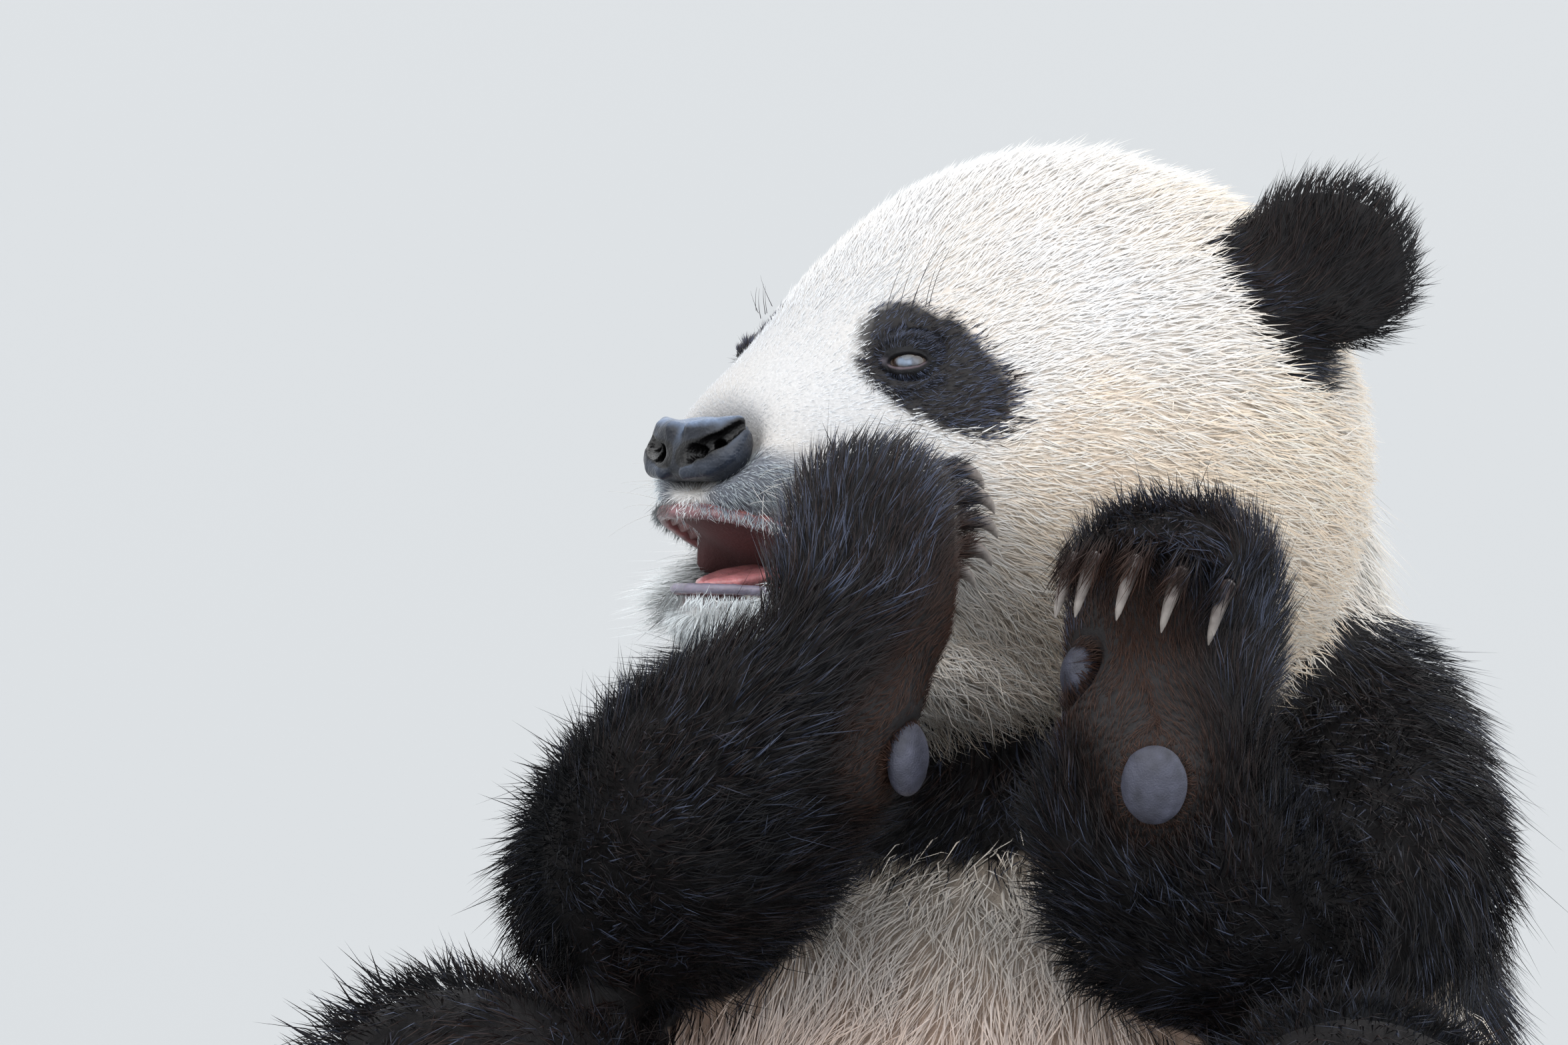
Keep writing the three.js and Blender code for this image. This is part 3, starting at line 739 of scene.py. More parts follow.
def skin_like(name, rough, grain_size, grain_depth, cells=False, coat=0.0, spec=0.5, mottle=0.25,
        subsurface=0.0):
    """A bare skin, leather or horn finish: painted by place, with a fine relief."""
    m, nodes, wire, shader, paint = painted(
        name, Roughness=rough, Coat_Weight=coat, Coat_Roughness=0.12, Specular_IOR_Level=spec)
    scale = 1 / (grain_size * MM)
    if cells:
        grain, place = nodes.new("ShaderNodeTexVoronoi"), nodes.new("ShaderNodeTexCoord")
        grain.feature = "SMOOTH_F1"
        grain.inputs["Scale"].default_value = scale
        wire(place.outputs["Object"], grain.inputs["Vector"])
        relief = grain.outputs["Distance"]
    else:
        relief = speckle(nodes, wire, scale, 4)
    ramp = nodes.new("ShaderNodeMapRange")
    for end, value in (("From Min", 0.3), ("From Max", 0.7), ("To Min", 1 - mottle),
            ("To Max", 1 + mottle)):
        ramp.inputs[end].default_value = value
    wire(speckle(nodes, wire, 180, 5), ramp.inputs["Value"])
    blend = nodes.new("ShaderNodeVectorMath")
    blend.operation = "SCALE"
    wire(paint, blend.inputs[0])
    wire(ramp.outputs["Result"], blend.inputs["Scale"])
    wire(blend.outputs["Vector"], shader.inputs["Base Color"])
    relief_on(nodes, wire, shader, relief, 1.0, grain_depth * MM, cells)
    if subsurface:
        shader.inputs["Subsurface Weight"].default_value = subsurface
        shader.inputs["Subsurface Scale"].default_value = 0.003
    return m


def lofted(rings):
    """A tube skin over rings of points, with a point at each end, as triangles."""
    m, k = rings.shape[:2]
    verts = np.concatenate([rings.reshape(-1, 3), rings[0].mean(0)[None], rings[-1].mean(0)[None]])
    tri = []
    for i in range(m - 1):
        for j in range(k):
            a, b = i * k + j, i * k + (j + 1) % k
            tri += [[a, b, b + k], [a, b + k, a + k]]
    for j in range(k):
        tri += [[m * k, (j + 1) % k, j], [m * k + 1, (m - 1) * k + j, (m - 1) * k + (j + 1) % k]]
    tri = np.array(tri)
    a, b, c = verts[tri[:, 0]], verts[tri[:, 1]], verts[tri[:, 2]]
    if (np.cross(a, b) * c).sum() < 0:
        tri = tri[:, ::-1]
    return verts, tri


# ---------------------------------------------------------------- how the coat grows
#            length, width, lift (degrees), tufts per cm2, clump
GROWTH = {
    "head": (14, 0.80, 24, 42, 0.25),
    "ear": (17, 0.85, 34, 46, 0.30),
    "neck": (34, 1.05, 38, 28, 0.35),
    "trunk": (34, 1.40, 27, 12, 0.35),
    "tail": (30, 1.40, 26, 13, 0.35),
    "upper_arm": (32, 1.20, 31, 20, 0.40),
    "forearm": (29, 1.10, 33, 26, 0.40),
    "forepaw": (18, 0.90, 30, 46, 0.30),
    "thigh": (33, 1.35, 29, 13, 0.40),
    "shank": (24, 1.30, 28, 14, 0.35),
    "foot": (15, 1.15, 24, 18, 0.30),
}
FORE_CLAWS = {
    "left": ([[65, -257, 538], [74, -261, 539], [91, -260, 538], [109, -256, 533], [127, -246, 527]],
             [-0.35, -0.35, -0.85], [-0.1, 0.6, -0.6]),
    "right": ([[-3, -172, 565], [2, -174, 555], [4, -178, 545], [3, -186, 534], [-2, -197, 526]],
              [0.62, 0.7, 0.1], [-0.2, 0.4, -0.9]),
}
PALMS = {
    "left": ([106, -300, 452], [86, -262, 515]),
    "right": ([-2, -268, 456], [2, -215, 520]),
}


def palm_share(p, d):
    """How much a place belongs to the short brown hair of a palm, from 0 to 1."""
    out = np.zeros(len(p))
    for side, (s, e) in PALMS.items():
        near_hand = np.minimum(d[f"forepaw_{side}"], d[f"forearm_{side}"]) < 6
        out = np.maximum(out, (1 - step(rod(p, [s, e], [26, 24]), -2, 26)) * near_hand)
    return out


def growth(p, n, nearest, names, d):
    """Length, width, lift, density and clumping of the tufts over the skin."""
    table = np.array([GROWTH[kind(g)] for g in names], float)
    g = spread(table[nearest], 4)
    h = to_head(p)
    a, b, c = h[:, 0], np.abs(h[:, 1]), h[:, 2]
    on_head = 1 - step(d["head"], -1, 9)
    for name in SIDES:
        on_head *= step(d[f"ear_{name}"], -4, 6)
    flews = step(a, 158, 176) * step(-c, 52, 64) * step(c, -92, -84)
    jaw_side = step(-c, 80, 98) * step(182 - a, 0, 25) * step(b, 24, 34)
    length = 3.6  # at the bare nose
    for long, place in (
        (9.0, step(188 - a, 0, 80)),  # muzzle
        (14.0, step(110 - a, 0, 90)),
        (18.0, step(b, 90, 145) * step(90 - a, 0, 60)),  # cheeks
        (19.0, step(-c, 40, 110) * step(140 - a, 0, 70)),
        (9.0, step(a, 140, 165) * step(-c, 100, 112)),  # chin
        (6.6, flews),
        (17.0, step(c, 70, 120) * step(110 - a, 0, 50)),  # crown
        (18.0, jaw_side),
    ):
        length = mix(length, long, place)
    width = mix(0.42, 0.80, step(185 - a, 0, 120))
    lift = mix(13.0, 24.0, step(170 - a, 0, 110)) + 5 * step(a, 120, 160) * step(-c, 96, 108)
    lift = lift + 18 * jaw_side + 12 * flews
    density = mix(120.0, 38.0, step(178 - a, 0, 120)) * mix(1.0, 0.75, step(-a, 0, 60))
    clump = np.full(len(p), 0.22)
    for centre in EYE_AT.values():
        close = 1 - step(from_eye(h, centre), 14, 44)
        length = mix(length, 5.0, close)
        width = mix(width, 0.5, close)
        lift = mix(lift, 15.0, close)
        density = mix(density, 110.0, close)
    head = np.stack([length, width, lift, density, clump], 1)
    g = mix(g, head, on_head[:, None])
    belly = step(-p[:, 1], 60, 110) * step(440 - p[:, 2], 0, 40) * (d["trunk"] < 0)
    g[:, 1] *= mix(1.0, 0.62, belly)
    g[:, 3] *= mix(1.0, 1.7, belly)
    palm = palm_share(p, d)
    g[:, 0] = mix(g[:, 0], 7.5, palm)
    g[:, 1] = mix(g[:, 1], 0.60, palm)
    g[:, 3] *= mix(1.0, 1.5, palm)
    for at in FORE_CLAWS["right"][0]:
        tip = np.linalg.norm(p - (np.array(at) + [4, 4, 1]), axis=1)
        g[:, 0] = mix(g[:, 0], 8.0, 1 - step(tip, 9, 20))
    throat = throat_share(h, d)
    g[:, 0] = mix(g[:, 0], 27.0, throat)
    g[:, 1] = mix(g[:, 1], 0.60, throat)
    g[:, 2] = mix(g[:, 2], 36.0, throat)
    bare = np.ones(len(p))
    for at, size, _ in PADS.values():
        r = np.linalg.norm((p - np.array(at)) / (np.array(size) + 5.0), axis=1)
        bare *= step(r, 0.95, 1.12)
        g[:, 0] = mix(g[:, 0], 7.0, 1 - step(r, 1.1, 3.0))
        g[:, 2] = mix(g[:, 2], 18.0, 1 - step(r, 1.1, 2.6))
        g[:, 3] *= mix(1.5, 1.0, step(r, 1.1, 3.0))
    for centre in EYE_AT.values():
        bare *= step(np.linalg.norm(h - (centre + 12
            * unit(np.array([0.72, 0.69 * np.sign(centre[1]), 0]))), axis=1), 9.5, 12.5)
    bare *= step(np.linalg.norm((h - np.array([197.0, 0, -58.5])) / np.array([15.0, 30.0, 17.0]), axis=1),
        0.9, 1.0)
    bare *= 1 - step(in_mouth(h), -2.5, 0.5)
    bare *= step(p[:, 2] + 40 * (1 + n[:, 2]), 6, 14)
    g[:, 3] *= bare
    return g


grow = growth(points, normals, nearest_part, part_names, d_skin)

# ---------------------------------------------------------------- eyes and lids
EYE = skin_like("eye", 0.08, 3.0, 0.02, coat=1.0, mottle=0.1)
LID = skin_like("lid", 0.7, 0.7, 0.3, mottle=0.3, spec=0.3)
LID_WIDE, LID_TALL = 18.0, 15.5
LID_LEVELS = np.concatenate([[-0.05, -0.02, 0.0, 0.02, 0.05, 0.08], np.linspace(0.11, 1.0, 48)])
lid_hair = []
for side, way_sign in SIDES.items():
    mirror = np.array([1, way_sign, 1.0])
    centre = EYE_AT[side]
    out = unit(np.array([0.80, 0.57, -0.20]) * mirror)
    along = np.array([-0.75, 0.616, 0.2435]) * mirror
    along = unit(along - (along @ out) * out)
    rise = np.cross(out, along) * way_sign
    # The eyeball, with its clear front standing a little proud.
    turn, off = np.meshgrid(round_turn(64), np.linspace(0.02, np.pi - 0.02, 56))
    gaze = unit(out + 0.06 * rise)
    gaze_x = unit(along - (along @ gaze) * gaze)
    gaze_y = np.cross(gaze, gaze_x)
    radius = EYE_RADIUS * (1 + 0.045 * np.exp(-((off / 0.5) ** 2)))[..., None]
    ball = np.sin(off)[..., None] * (np.cos(turn)[..., None] * gaze_x + np.sin(turn)[..., None] * gaze_y)
    verts, tri = lofted(centre + radius * (ball + np.cos(off)[..., None] * gaze))
    p = from_head(verts)
    d = unit(verts - centre)
    off = np.degrees(np.arccos(np.clip(d @ gaze, -1, 1)))
    rgb = np.tile([0.16, 0.12, 0.10], (len(p), 1))
    rgb = tint(rgb, [0.030, 0.016, 0.009], 1 - step(off, 36, 41))
    rgb = tint(rgb, [0.003, 0.003, 0.003], 1 - step(off, 13, 16))
    x, y = (d @ along) * EYE_RADIUS, (d @ rise) * EYE_RADIUS
    # Painted reflection: a pale blue-grey patch over the open middle of the eye stands in for the sky's
    # reflection on it.
    painted_reflection = (1 - step(np.hypot((x - 0.3) / 6.0, (y + 0.1) / 2.3), 0.45, 1.1)) * (d @ out > 0)
    painted_reflection *= 0.35 + 0.65 * step(noise(p, 1.7, 91), -0.45, 0.4)
    rgb = tint(rgb, [0.27, 0.35, 0.48], 0.85 * painted_reflection)
    eye = mesh_object(f"eyeball_{side}", p, tri, EYE, colours=rgb)
    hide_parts(f"eye_{side}")
    # The lids: rings from inside the opening, over the rounded margin, out to meet the skin.
    turn = round_turn(120)
    cos, sin = np.cos(turn), np.sin(turn)
    open_x = 8.4 * np.sign(cos) * np.abs(cos) ** 0.9
    open_y = np.where(sin > 0, 2.9, 2.5) * np.sign(sin) * np.abs(sin) ** 1.15 + 0.05 * open_x
    reach = np.clip(LID_LEVELS, 0, 1)[:, None]
    inward = 1 + np.clip(LID_LEVELS, -1, 0)[:, None]
    x = (open_x + (LID_WIDE * cos - open_x) * reach) * inward
    y = (open_y + (LID_TALL * sin - open_y) * reach) * inward
    s = np.repeat(LID_LEVELS[:, None], len(turn), 1)
    r = np.hypot(x, y)
    # How high the skin stands over each place.
    heights = np.arange(-2, 22, 0.5)
    field, start = round_eye_field[side]
    probe = centre + x[..., None, None] * along + y[..., None, None] * rise + heights[:, None] * out
    value = sample(field, VOXEL, start, from_head(probe.reshape(-1, 3))).reshape(probe.shape[:-1])
    last_in = np.where((value < 0).any(-1), value.shape[-1] - 1 - np.argmax((value < 0)[..., ::-1], -1), 0)
    skin_z = heights[last_in]
    ball_z = np.sqrt(np.maximum(11.45**2 - np.minimum(r, 11.2) ** 2, 1.0))
    lid_z = np.maximum(np.sqrt(np.maximum(13.1**2 - np.minimum(r, 12.9) ** 2, 0.0)), 9.6)
    z = mix(ball_z - 0.2, lid_z, step(s, -0.05, 0.09))
    upper = np.repeat(step(sin, -0.05, 0.35)[None], len(s), 0)
    short = step(np.abs(cos), 1.03, 0.75)[None]
    z = mix(z, skin_z - 1.1, step(s, 0.42, 0.86))
    lower = 1 - upper
    folds = [  # how far out, where along the lid and how wide
        (-0.9, upper * short, 0.44, 0.06), (0.5, upper * short, 0.28, 0.10), (0.3, upper * short, 0.58,
            0.08),
        (-0.5, lower * short, 0.36, 0.06), (-0.25, lower * short, 0.55, 0.06), (0.35, lower, 0.20, 0.08),
    ]
    for rise_mm, part, middle, wide in folds:
        z += rise_mm * part * np.exp(-(((s - middle) / wide) ** 2))
    rings = centre + x[..., None] * along + y[..., None] * rise + z[..., None] * out
    rings = np.concatenate([rings, rings[-1:] - 3.5 * out])
    rows, cols = rings.shape[:2]
    verts = rings.reshape(-1, 3)
    i, j = np.meshgrid(np.arange(rows - 1), np.arange(cols), indexing="ij")
    nxt = (j + 1) % cols
    faces = np.stack([i * cols + j, i * cols + nxt, (i + 1) * cols + nxt, (i + 1) * cols + j],
        -1).reshape(-1, 4)
    p = from_head(verts)
    n = vertex_normals(p, faces)
    if (n @ turn_to_world(out)).mean() < 0:
        faces, n = faces[:, ::-1], -n
    p = p + 0.2 * noise(p, 1.6, 93)[:, None] * n
    level = np.concatenate([s.ravel(), np.full(cols, 1.2)])
    rgb = mottled(np.array([0.010, 0.010, 0.012]), p, 0.3, 3, 94)
    rim = np.exp(-(((level - 0.03) / 0.05) ** 2))
    low_side = np.tile(step(-sin, -0.1, 0.5), rows)
    rgb = tint(rgb, [0.17, 0.13, 0.15], 0.8 * rim * low_side)
    rgb = tint(rgb, [0.006, 0.005, 0.006], rim * (1 - low_side))
    q = verts - centre
    # Painted highlight: a lighter spot at the inner corner of the eye.
    corner_highlight = np.exp(-((((q @ along) + 12.0) / 3.0) ** 2) - (((q @ rise) - 0.6) / 1.7) ** 2)
    rgb = tint(rgb, [0.16, 0.14, 0.17], 0.6 * corner_highlight)
    lids = mesh_object(f"lids_{side}", p, faces, LID, colours=np.clip(rgb, 0, 1))
    # Short hair on the lids, swept out towards the temple.
    hair_rng = np.random.default_rng(70 + way_sign)
    middle = level[faces].mean(1)
    open_faces = np.flatnonzero((middle > 0.17) & (middle < 0.9))
    size = np.linalg.norm(across_faces(p, faces), axis=1)[open_faces]
    chosen = hair_rng.choice(open_faces, 3600, p=size / size.sum())
    w = hair_rng.dirichlet([1, 1, 1, 1], len(chosen))[..., None]
    place = (p[faces[chosen]] * w).sum(1)
    outward = unit((n[faces[chosen]] * w).sum(1))
    spot = to_head(place) - centre
    sweep = unit((spot @ along)[:, None] * along
        + (spot @ rise)[:, None] * rise) + 0.7 * along - 0.15 * rise
    sweep = turn_to_world(sweep)
    sweep = laid(sweep, outward)
    habit = np.tile([3.6, 0.46, 24.0, 1.0, 0.15], (len(place), 1))
    habit[:, 0] = mix(3.4, 8.0, middle[chosen])
    lid_hair.append((place, outward, sweep, habit))

# ---------------------------------------------------------------- fringes round the mouth
fringe_rng = np.random.default_rng(44)


def fringe(line, count, spread_mm, outward, sweep, habit):
    """Tufts sown along a line of head places: (length, width, lift, density, clump) is their habit."""
    line = np.array(line, float)
    gaps = np.linalg.norm(np.diff(line, axis=0), axis=1)
    s = fringe_rng.random(count) * gaps.sum()
    along = np.concatenate([[0], np.cumsum(gaps)])
    place = np.stack([np.interp(s, along, line[:, i]) for i in range(3)], 1)
    place += np.array(spread_mm) * fringe_rng.normal(0, 1, (count, 3))
    up_way = turn_to_world(unit(np.array(outward) + 0.15 * fringe_rng.normal(0, 1, (count, 3))))
    go = turn_to_world(unit(np.array(sweep) + 0.28 * fringe_rng.normal(0, 1, (count, 3))))
    go = laid(go, up_way)
    sown.append((from_head(place), up_way, go, np.tile(np.array(habit, float), (count, 1))))


def cuff(at, out, over, radius, long, count):
    """Tufts round the root of a claw, combed along it."""
    ahead, bend = unit(out), unit(over)
    across = unit(np.cross(ahead, bend))
    rise = np.cross(across, ahead)
    turn = fringe_rng.random(count) * 2 * np.pi
    away = np.cos(turn)[:, None] * across + np.sin(turn)[:, None] * rise
    back = fringe_rng.uniform(-2.0, 13.0, (count, 1))
    place = np.array(at) - back * ahead + (radius + 0.10 * back) * away
    sown.append((place, unit(away), np.tile(ahead, (count, 1)),
        np.tile([long, 0.80, 7.0, 1.0, 0.3], (count, 1))))


sown = list(lid_hair)
few = 1.0
for way_sign in SIDES.values():
    edge = [[a + 0.6, (b + 0.8) * way_sign, c + 1.6] for a, b, c in UPPER_LIP]
    fringe(edge, int(800 * few), (0.8, 0.8, 1.2), [0.45, 0.85 * way_sign, 0.1], [-0.30, 0, -1],
        (5.4, 0.32, 10, 1, 0.3))
    edge = [[a + 0.5, (b + 1.5) * way_sign, c - 3.0] for a, b, c in LOWER_LIP]
    fringe(edge, int(500 * few), (0.8, 0.8, 1.0), [0.5, 0.8 * way_sign, -0.2], [-0.1, 0.1 * way_sign, -1],
        (9, 0.40, 30, 1, 0.3))
    puff = [[134, 41, -88], [140, 42, -94], [146, 40, -102], [154, 37, -110], [162, 33, -114]]
    puff = [[a, (b + 0.5) * way_sign, c] for a, b, c in puff]
    long = 25 if way_sign < 0 else 12
    fringe(puff, int(1500 * few), (5.0, 1.5, 5.0), [0.55, 0.25 * way_sign, 0.75],
        [0.50, 0.85 * way_sign, -0.35], (long, 0.62, 14, 1, 0.4))

claws = []
for side, way_sign in SIDES.items():
    places, out, over = FORE_CLAWS[side]
    for k, place in enumerate(places):
        claws.append((f"claw_fore_{side}_{k + 1}", place, out, over, 0.86 if side == "left" else 0.92))
    for k in range(5):
        x = way_sign * mix(172, 258, k / 4)
        place = [x + 3 * way_sign, -541 - 10 * math.sin(math.pi * (0.2 + 0.6 * k / 4)), 21]
        claws.append((f"claw_hind_{side}_{k + 1}", place, [way_sign * 0.08, -1, 0.12], [0, -0.3, -1], 1.0))
for name, place, out, over, _ in claws:
    cuff(place, out, over, 4.4, 11 if "hind" in name else (17 if "left" in name else 11),
        int((190 if "fore" in name else 90) * few))


def pad_turn(angles):
    turns = [Matrix.Rotation(angle, 3, axis) for angle, axis in zip(angles, "XYZ")]
    return np.array(turns[0] @ turns[1] @ turns[2])


def pad_rim(at, size, angles, long, lift, count):
    """Short hair round a pad that lies in over its edge."""
    at = np.array(at, float)
    spin = pad_turn(angles)
    close = np.flatnonzero(np.linalg.norm(points - at, axis=1) < 42)
    out = unit(normals[close].mean(0))
    across = unit(np.cross(out, [0.3, 0.2, 1.0]))
    turn = fringe_rng.random(count)[:, None] * 2 * np.pi
    away = np.cos(turn) * across + np.sin(turn) * np.cross(out, across)
    radius = 1 / np.linalg.norm((away @ spin) / np.array(size), axis=1)
    place = at + (radius * fringe_rng.uniform(0.92, 1.3, count))[:, None] * away
    nearest = close[np.linalg.norm(points[close][None] - place[:, None], axis=2).argmin(1)]
    place = place + ((points[nearest] - place) @ out)[:, None] * out
    sown.append((place, normals[nearest], -away, np.tile([long, 0.62, lift, 1.0, 0.2], (count, 1))))


for name, (at, size, angles) in PADS.items():
    thumb = name.startswith("thumb")
    pad_rim(at, size, angles, 13.0 if thumb else 7.0, 48.0 if thumb else 38.0,
        int((620 if thumb else 520) * few))

# ---------------------------------------------------------------- sowing the tufts
GUARD_SHARE = 0.045  # of all tufts, the long thin ones
rng = np.random.default_rng(20)
area = 0.5 * np.linalg.norm(across_faces(points, quads), axis=1) / 100  # cm2
facing = normals[quads].mean(1) @ BACKWARD
share = area * grow[quads, 3].mean(1) * (1 + 0.45 * step(facing, -0.3, 0.4))
BUDGET = 220800  # tufts over the skin; lids, mouth, claws and pads have their own
share *= BUDGET / share.sum()
heap = np.cumsum(share)
pick = np.searchsorted(heap, (np.arange(int(heap[-1])) + rng.random(int(heap[-1]))).clip(0,
    heap[-1] - 1e-6))
u, v = rng.random(len(pick))[:, None], rng.random(len(pick))[:, None]


def across_quad(values):
    w = values[quads[pick]]
    return (w[:, 0] * (1 - u) + w[:, 1] * u) * (1 - v) + (w[:, 3] * (1 - u) + w[:, 2] * u) * v


root = across_quad(points)
up = unit(across_quad(normals))
way = laid(across_quad(lie), up)
grown = across_quad(grow)
root, up, way, grown = (np.concatenate([a, *b]) for a, b in zip((root, up, way, grown), zip(*sown)))
d_root = distances_at(root)
black = markings(root, d_root)
count = len(root)
tangle = np.stack([noise(root, 9, 31), noise(root, 9, 32), noise(root, 9, 33)], 1)
stray = rng.normal(0, 1, (count, 3))
h_root = to_head(root)
cheek = (d_root["head"] < 6) * step(110 - h_root[:, 0], 0, 50) * step(60 - h_root[:, 2], 0, 60)
way = way + 0.28 * tangle + (0.16 + 0.14 * cheek)[:, None] * stray
way = laid(way, up)
length = grown[:, 0] * np.clip(rng.normal(1, 0.17, count), 0.55, 1.5) * (1 + 0.12 * noise(root, 25, 34))
width = 0.82 * (1 - 0.18 * cheek) * grown[:, 1] * np.clip(rng.normal(1, 0.2, count), 0.5, 1.6)
lift = np.radians(np.clip(grown[:, 2] * (1 + 0.25 * noise(root, 14, 35)) + rng.normal(0, 6, count), 5, 70))
is_black = black + rng.normal(0, 1, count) * mix(1.3, 4.5, step(d_root["head"], 0, 12)) > 0
width = np.where(is_black, 0.82 * width, width)
guard = (rng.random(count) < GUARD_SHARE) & (d_root["head"] > 4)
length = np.where(guard, length * 1.3, length)
width = np.where(guard, width * 0.6, width)
lift = np.where(guard, lift + math.radians(11), lift)

pale = white_coat(root, d_root) * np.clip(rng.normal(1, 0.055, (count, 1)), 0.8, 1.1)
peach = np.clip((pale[:, 0] - pale[:, 2]) * 7, 0, 1) * (rng.random(count) < 0.5) * (h_root[:, 0] < 150)
peach = peach * mix(0.35, 1.0, 1 - step(d_root["head"], -4, 6))
pale = pale * tint(1.0, [0.98, 0.88, 0.77], peach)
throat_root = throat_share(h_root, d_root)
brownish = throat_root * (rng.random(count) < 0.45)
pale = tint(pale, [0.40, 0.31, 0.24], 0.8 * brownish)
paws = np.minimum(np.minimum(d_root["forepaw_left"], d_root["forepaw_right"]),
    np.minimum(d_root["thigh_left"], d_root["thigh_right"]))
rusty = np.clip(0.06 + 0.20 * step(-paws, -20, 6) + 0.45 * noise(root, 45, 41)
    + 0.25 * rng.normal(0, 1, count), 0, 1)
for at, *_ in PADS.values():
    rusty = np.maximum(rusty, 1.4 * (1 - step(np.linalg.norm(root - np.array(at), axis=1), 18, 50)))
palm_root = palm_share(root, d_root)
rusty = np.maximum(rusty, 1.7 * palm_root)
dark = tint(BLACK, RUST, 0.55 * rusty)
on_patch = (h_root[:, 0] > 90) & (d_root["head"] < 12)
on_ear = np.minimum(d_root["ear_left"], d_root["ear_right"]) < 4
on_paw = np.minimum(d_root["forepaw_left"], d_root["forepaw_right"]) < 4
# Painted highlight: a share of the black tufts is painted blue-grey, standing in for the sheen on black fur;
# more on the eye patches and paws, fewer on the ears and palms.
shine = rng.random(count) + 0.25 * noise(root, 12,
    42) + 0.25 * on_patch + 0.14 * on_paw - 0.3 * on_ear - 0.6 * palm_root
glint = 0.85 * step(shine, 0.74, 1.05)
dark = tint(dark, PAINTED_SHEEN, glint)
dark = dark * np.where(on_ear, 0.7, np.where(on_patch, 1.2, 0.82))[:, None]
dark *= np.clip(rng.normal(1, 0.2, (count, 1)), 0.5, 1.7)
colour = np.where(is_black[:, None], dark, pale)
frosted = step(h_root[:, 0], 160, 182) * step(-h_root[:, 2], 46, 60) * ~is_black
frosted = frosted * step(np.abs(h_root[:, 1]), 3, 12) * step(h_root[:, 2], -96, -86)
root_shade = np.where(is_black, 0.55, mix(0.94, 0.22, frosted))[:, None]
tip_shade = np.where(is_black, 1.35, mix(1.02, 3.4, frosted))[:, None]

# Tufts near one another lean their tips together.
heads = rng.permutation(count)[: max(count // 9, 1)]
tree = kdtree.KDTree(len(heads))
for i, k in enumerate(heads):
    tree.insert(root[k], i)
tree.balance()
leader = heads[np.fromiter((tree.find(q)[1] for q in root), int, count)]


def centreline(t, base, first, last, long):
    return base + long[:, None] * (first * (t - t * t / 2) + last * (t * t / 2))


side_way = unit(np.cross(up, way))
first = np.cos(lift * 1.35)[:, None] * way + np.sin(lift * 1.35)[:, None] * up
last_lift = lift * 0.55
last = np.cos(last_lift)[:, None] * way + np.sin(last_lift)[:, None] * up + 0.30 * rng.normal(0, 1,
    (count, 1)) * side_way
base = root - 0.8 * up
tip = centreline(1.0, base, first, last, length)
toward = (tip[leader] - root[leader]) * (length / length[leader])[:, None] + root[leader] - tip
toward -= 0.3 * (toward * up).sum(1, keepdims=True) * up
pull = np.clip(grown[:, 4] * 1.2, 0, 0.6)[:, None] * np.clip(rng.normal(1, 0.35, (count, 1)), 0, 1.6)
reach = np.linalg.norm(toward, axis=1, keepdims=True)
toward *= np.minimum(1, 0.45 * length[:, None] / np.maximum(reach, 1e-6))
last = last + 2 * pull * toward / length[:, None]
tip = centreline(1.0, base, first, last, length)


def unwrapped(p, middle):
    """Places round and up a piece of skin, from 0 to 1: an unwrap of its own shape, round its middle."""
    q = p - middle
    r = np.linalg.norm(q, axis=1)
    turn = np.arctan2(q[:, 0], -q[:, 1]) / (2 * np.pi) + 0.5
    rise = np.arccos(np.clip(q[:, 2] / np.maximum(r, 1e-6), -1, 1)) / np.pi
    return 0.004 + 0.988 * np.stack([turn, 1 - rise], 1)


WAVE_TURN = 6.28


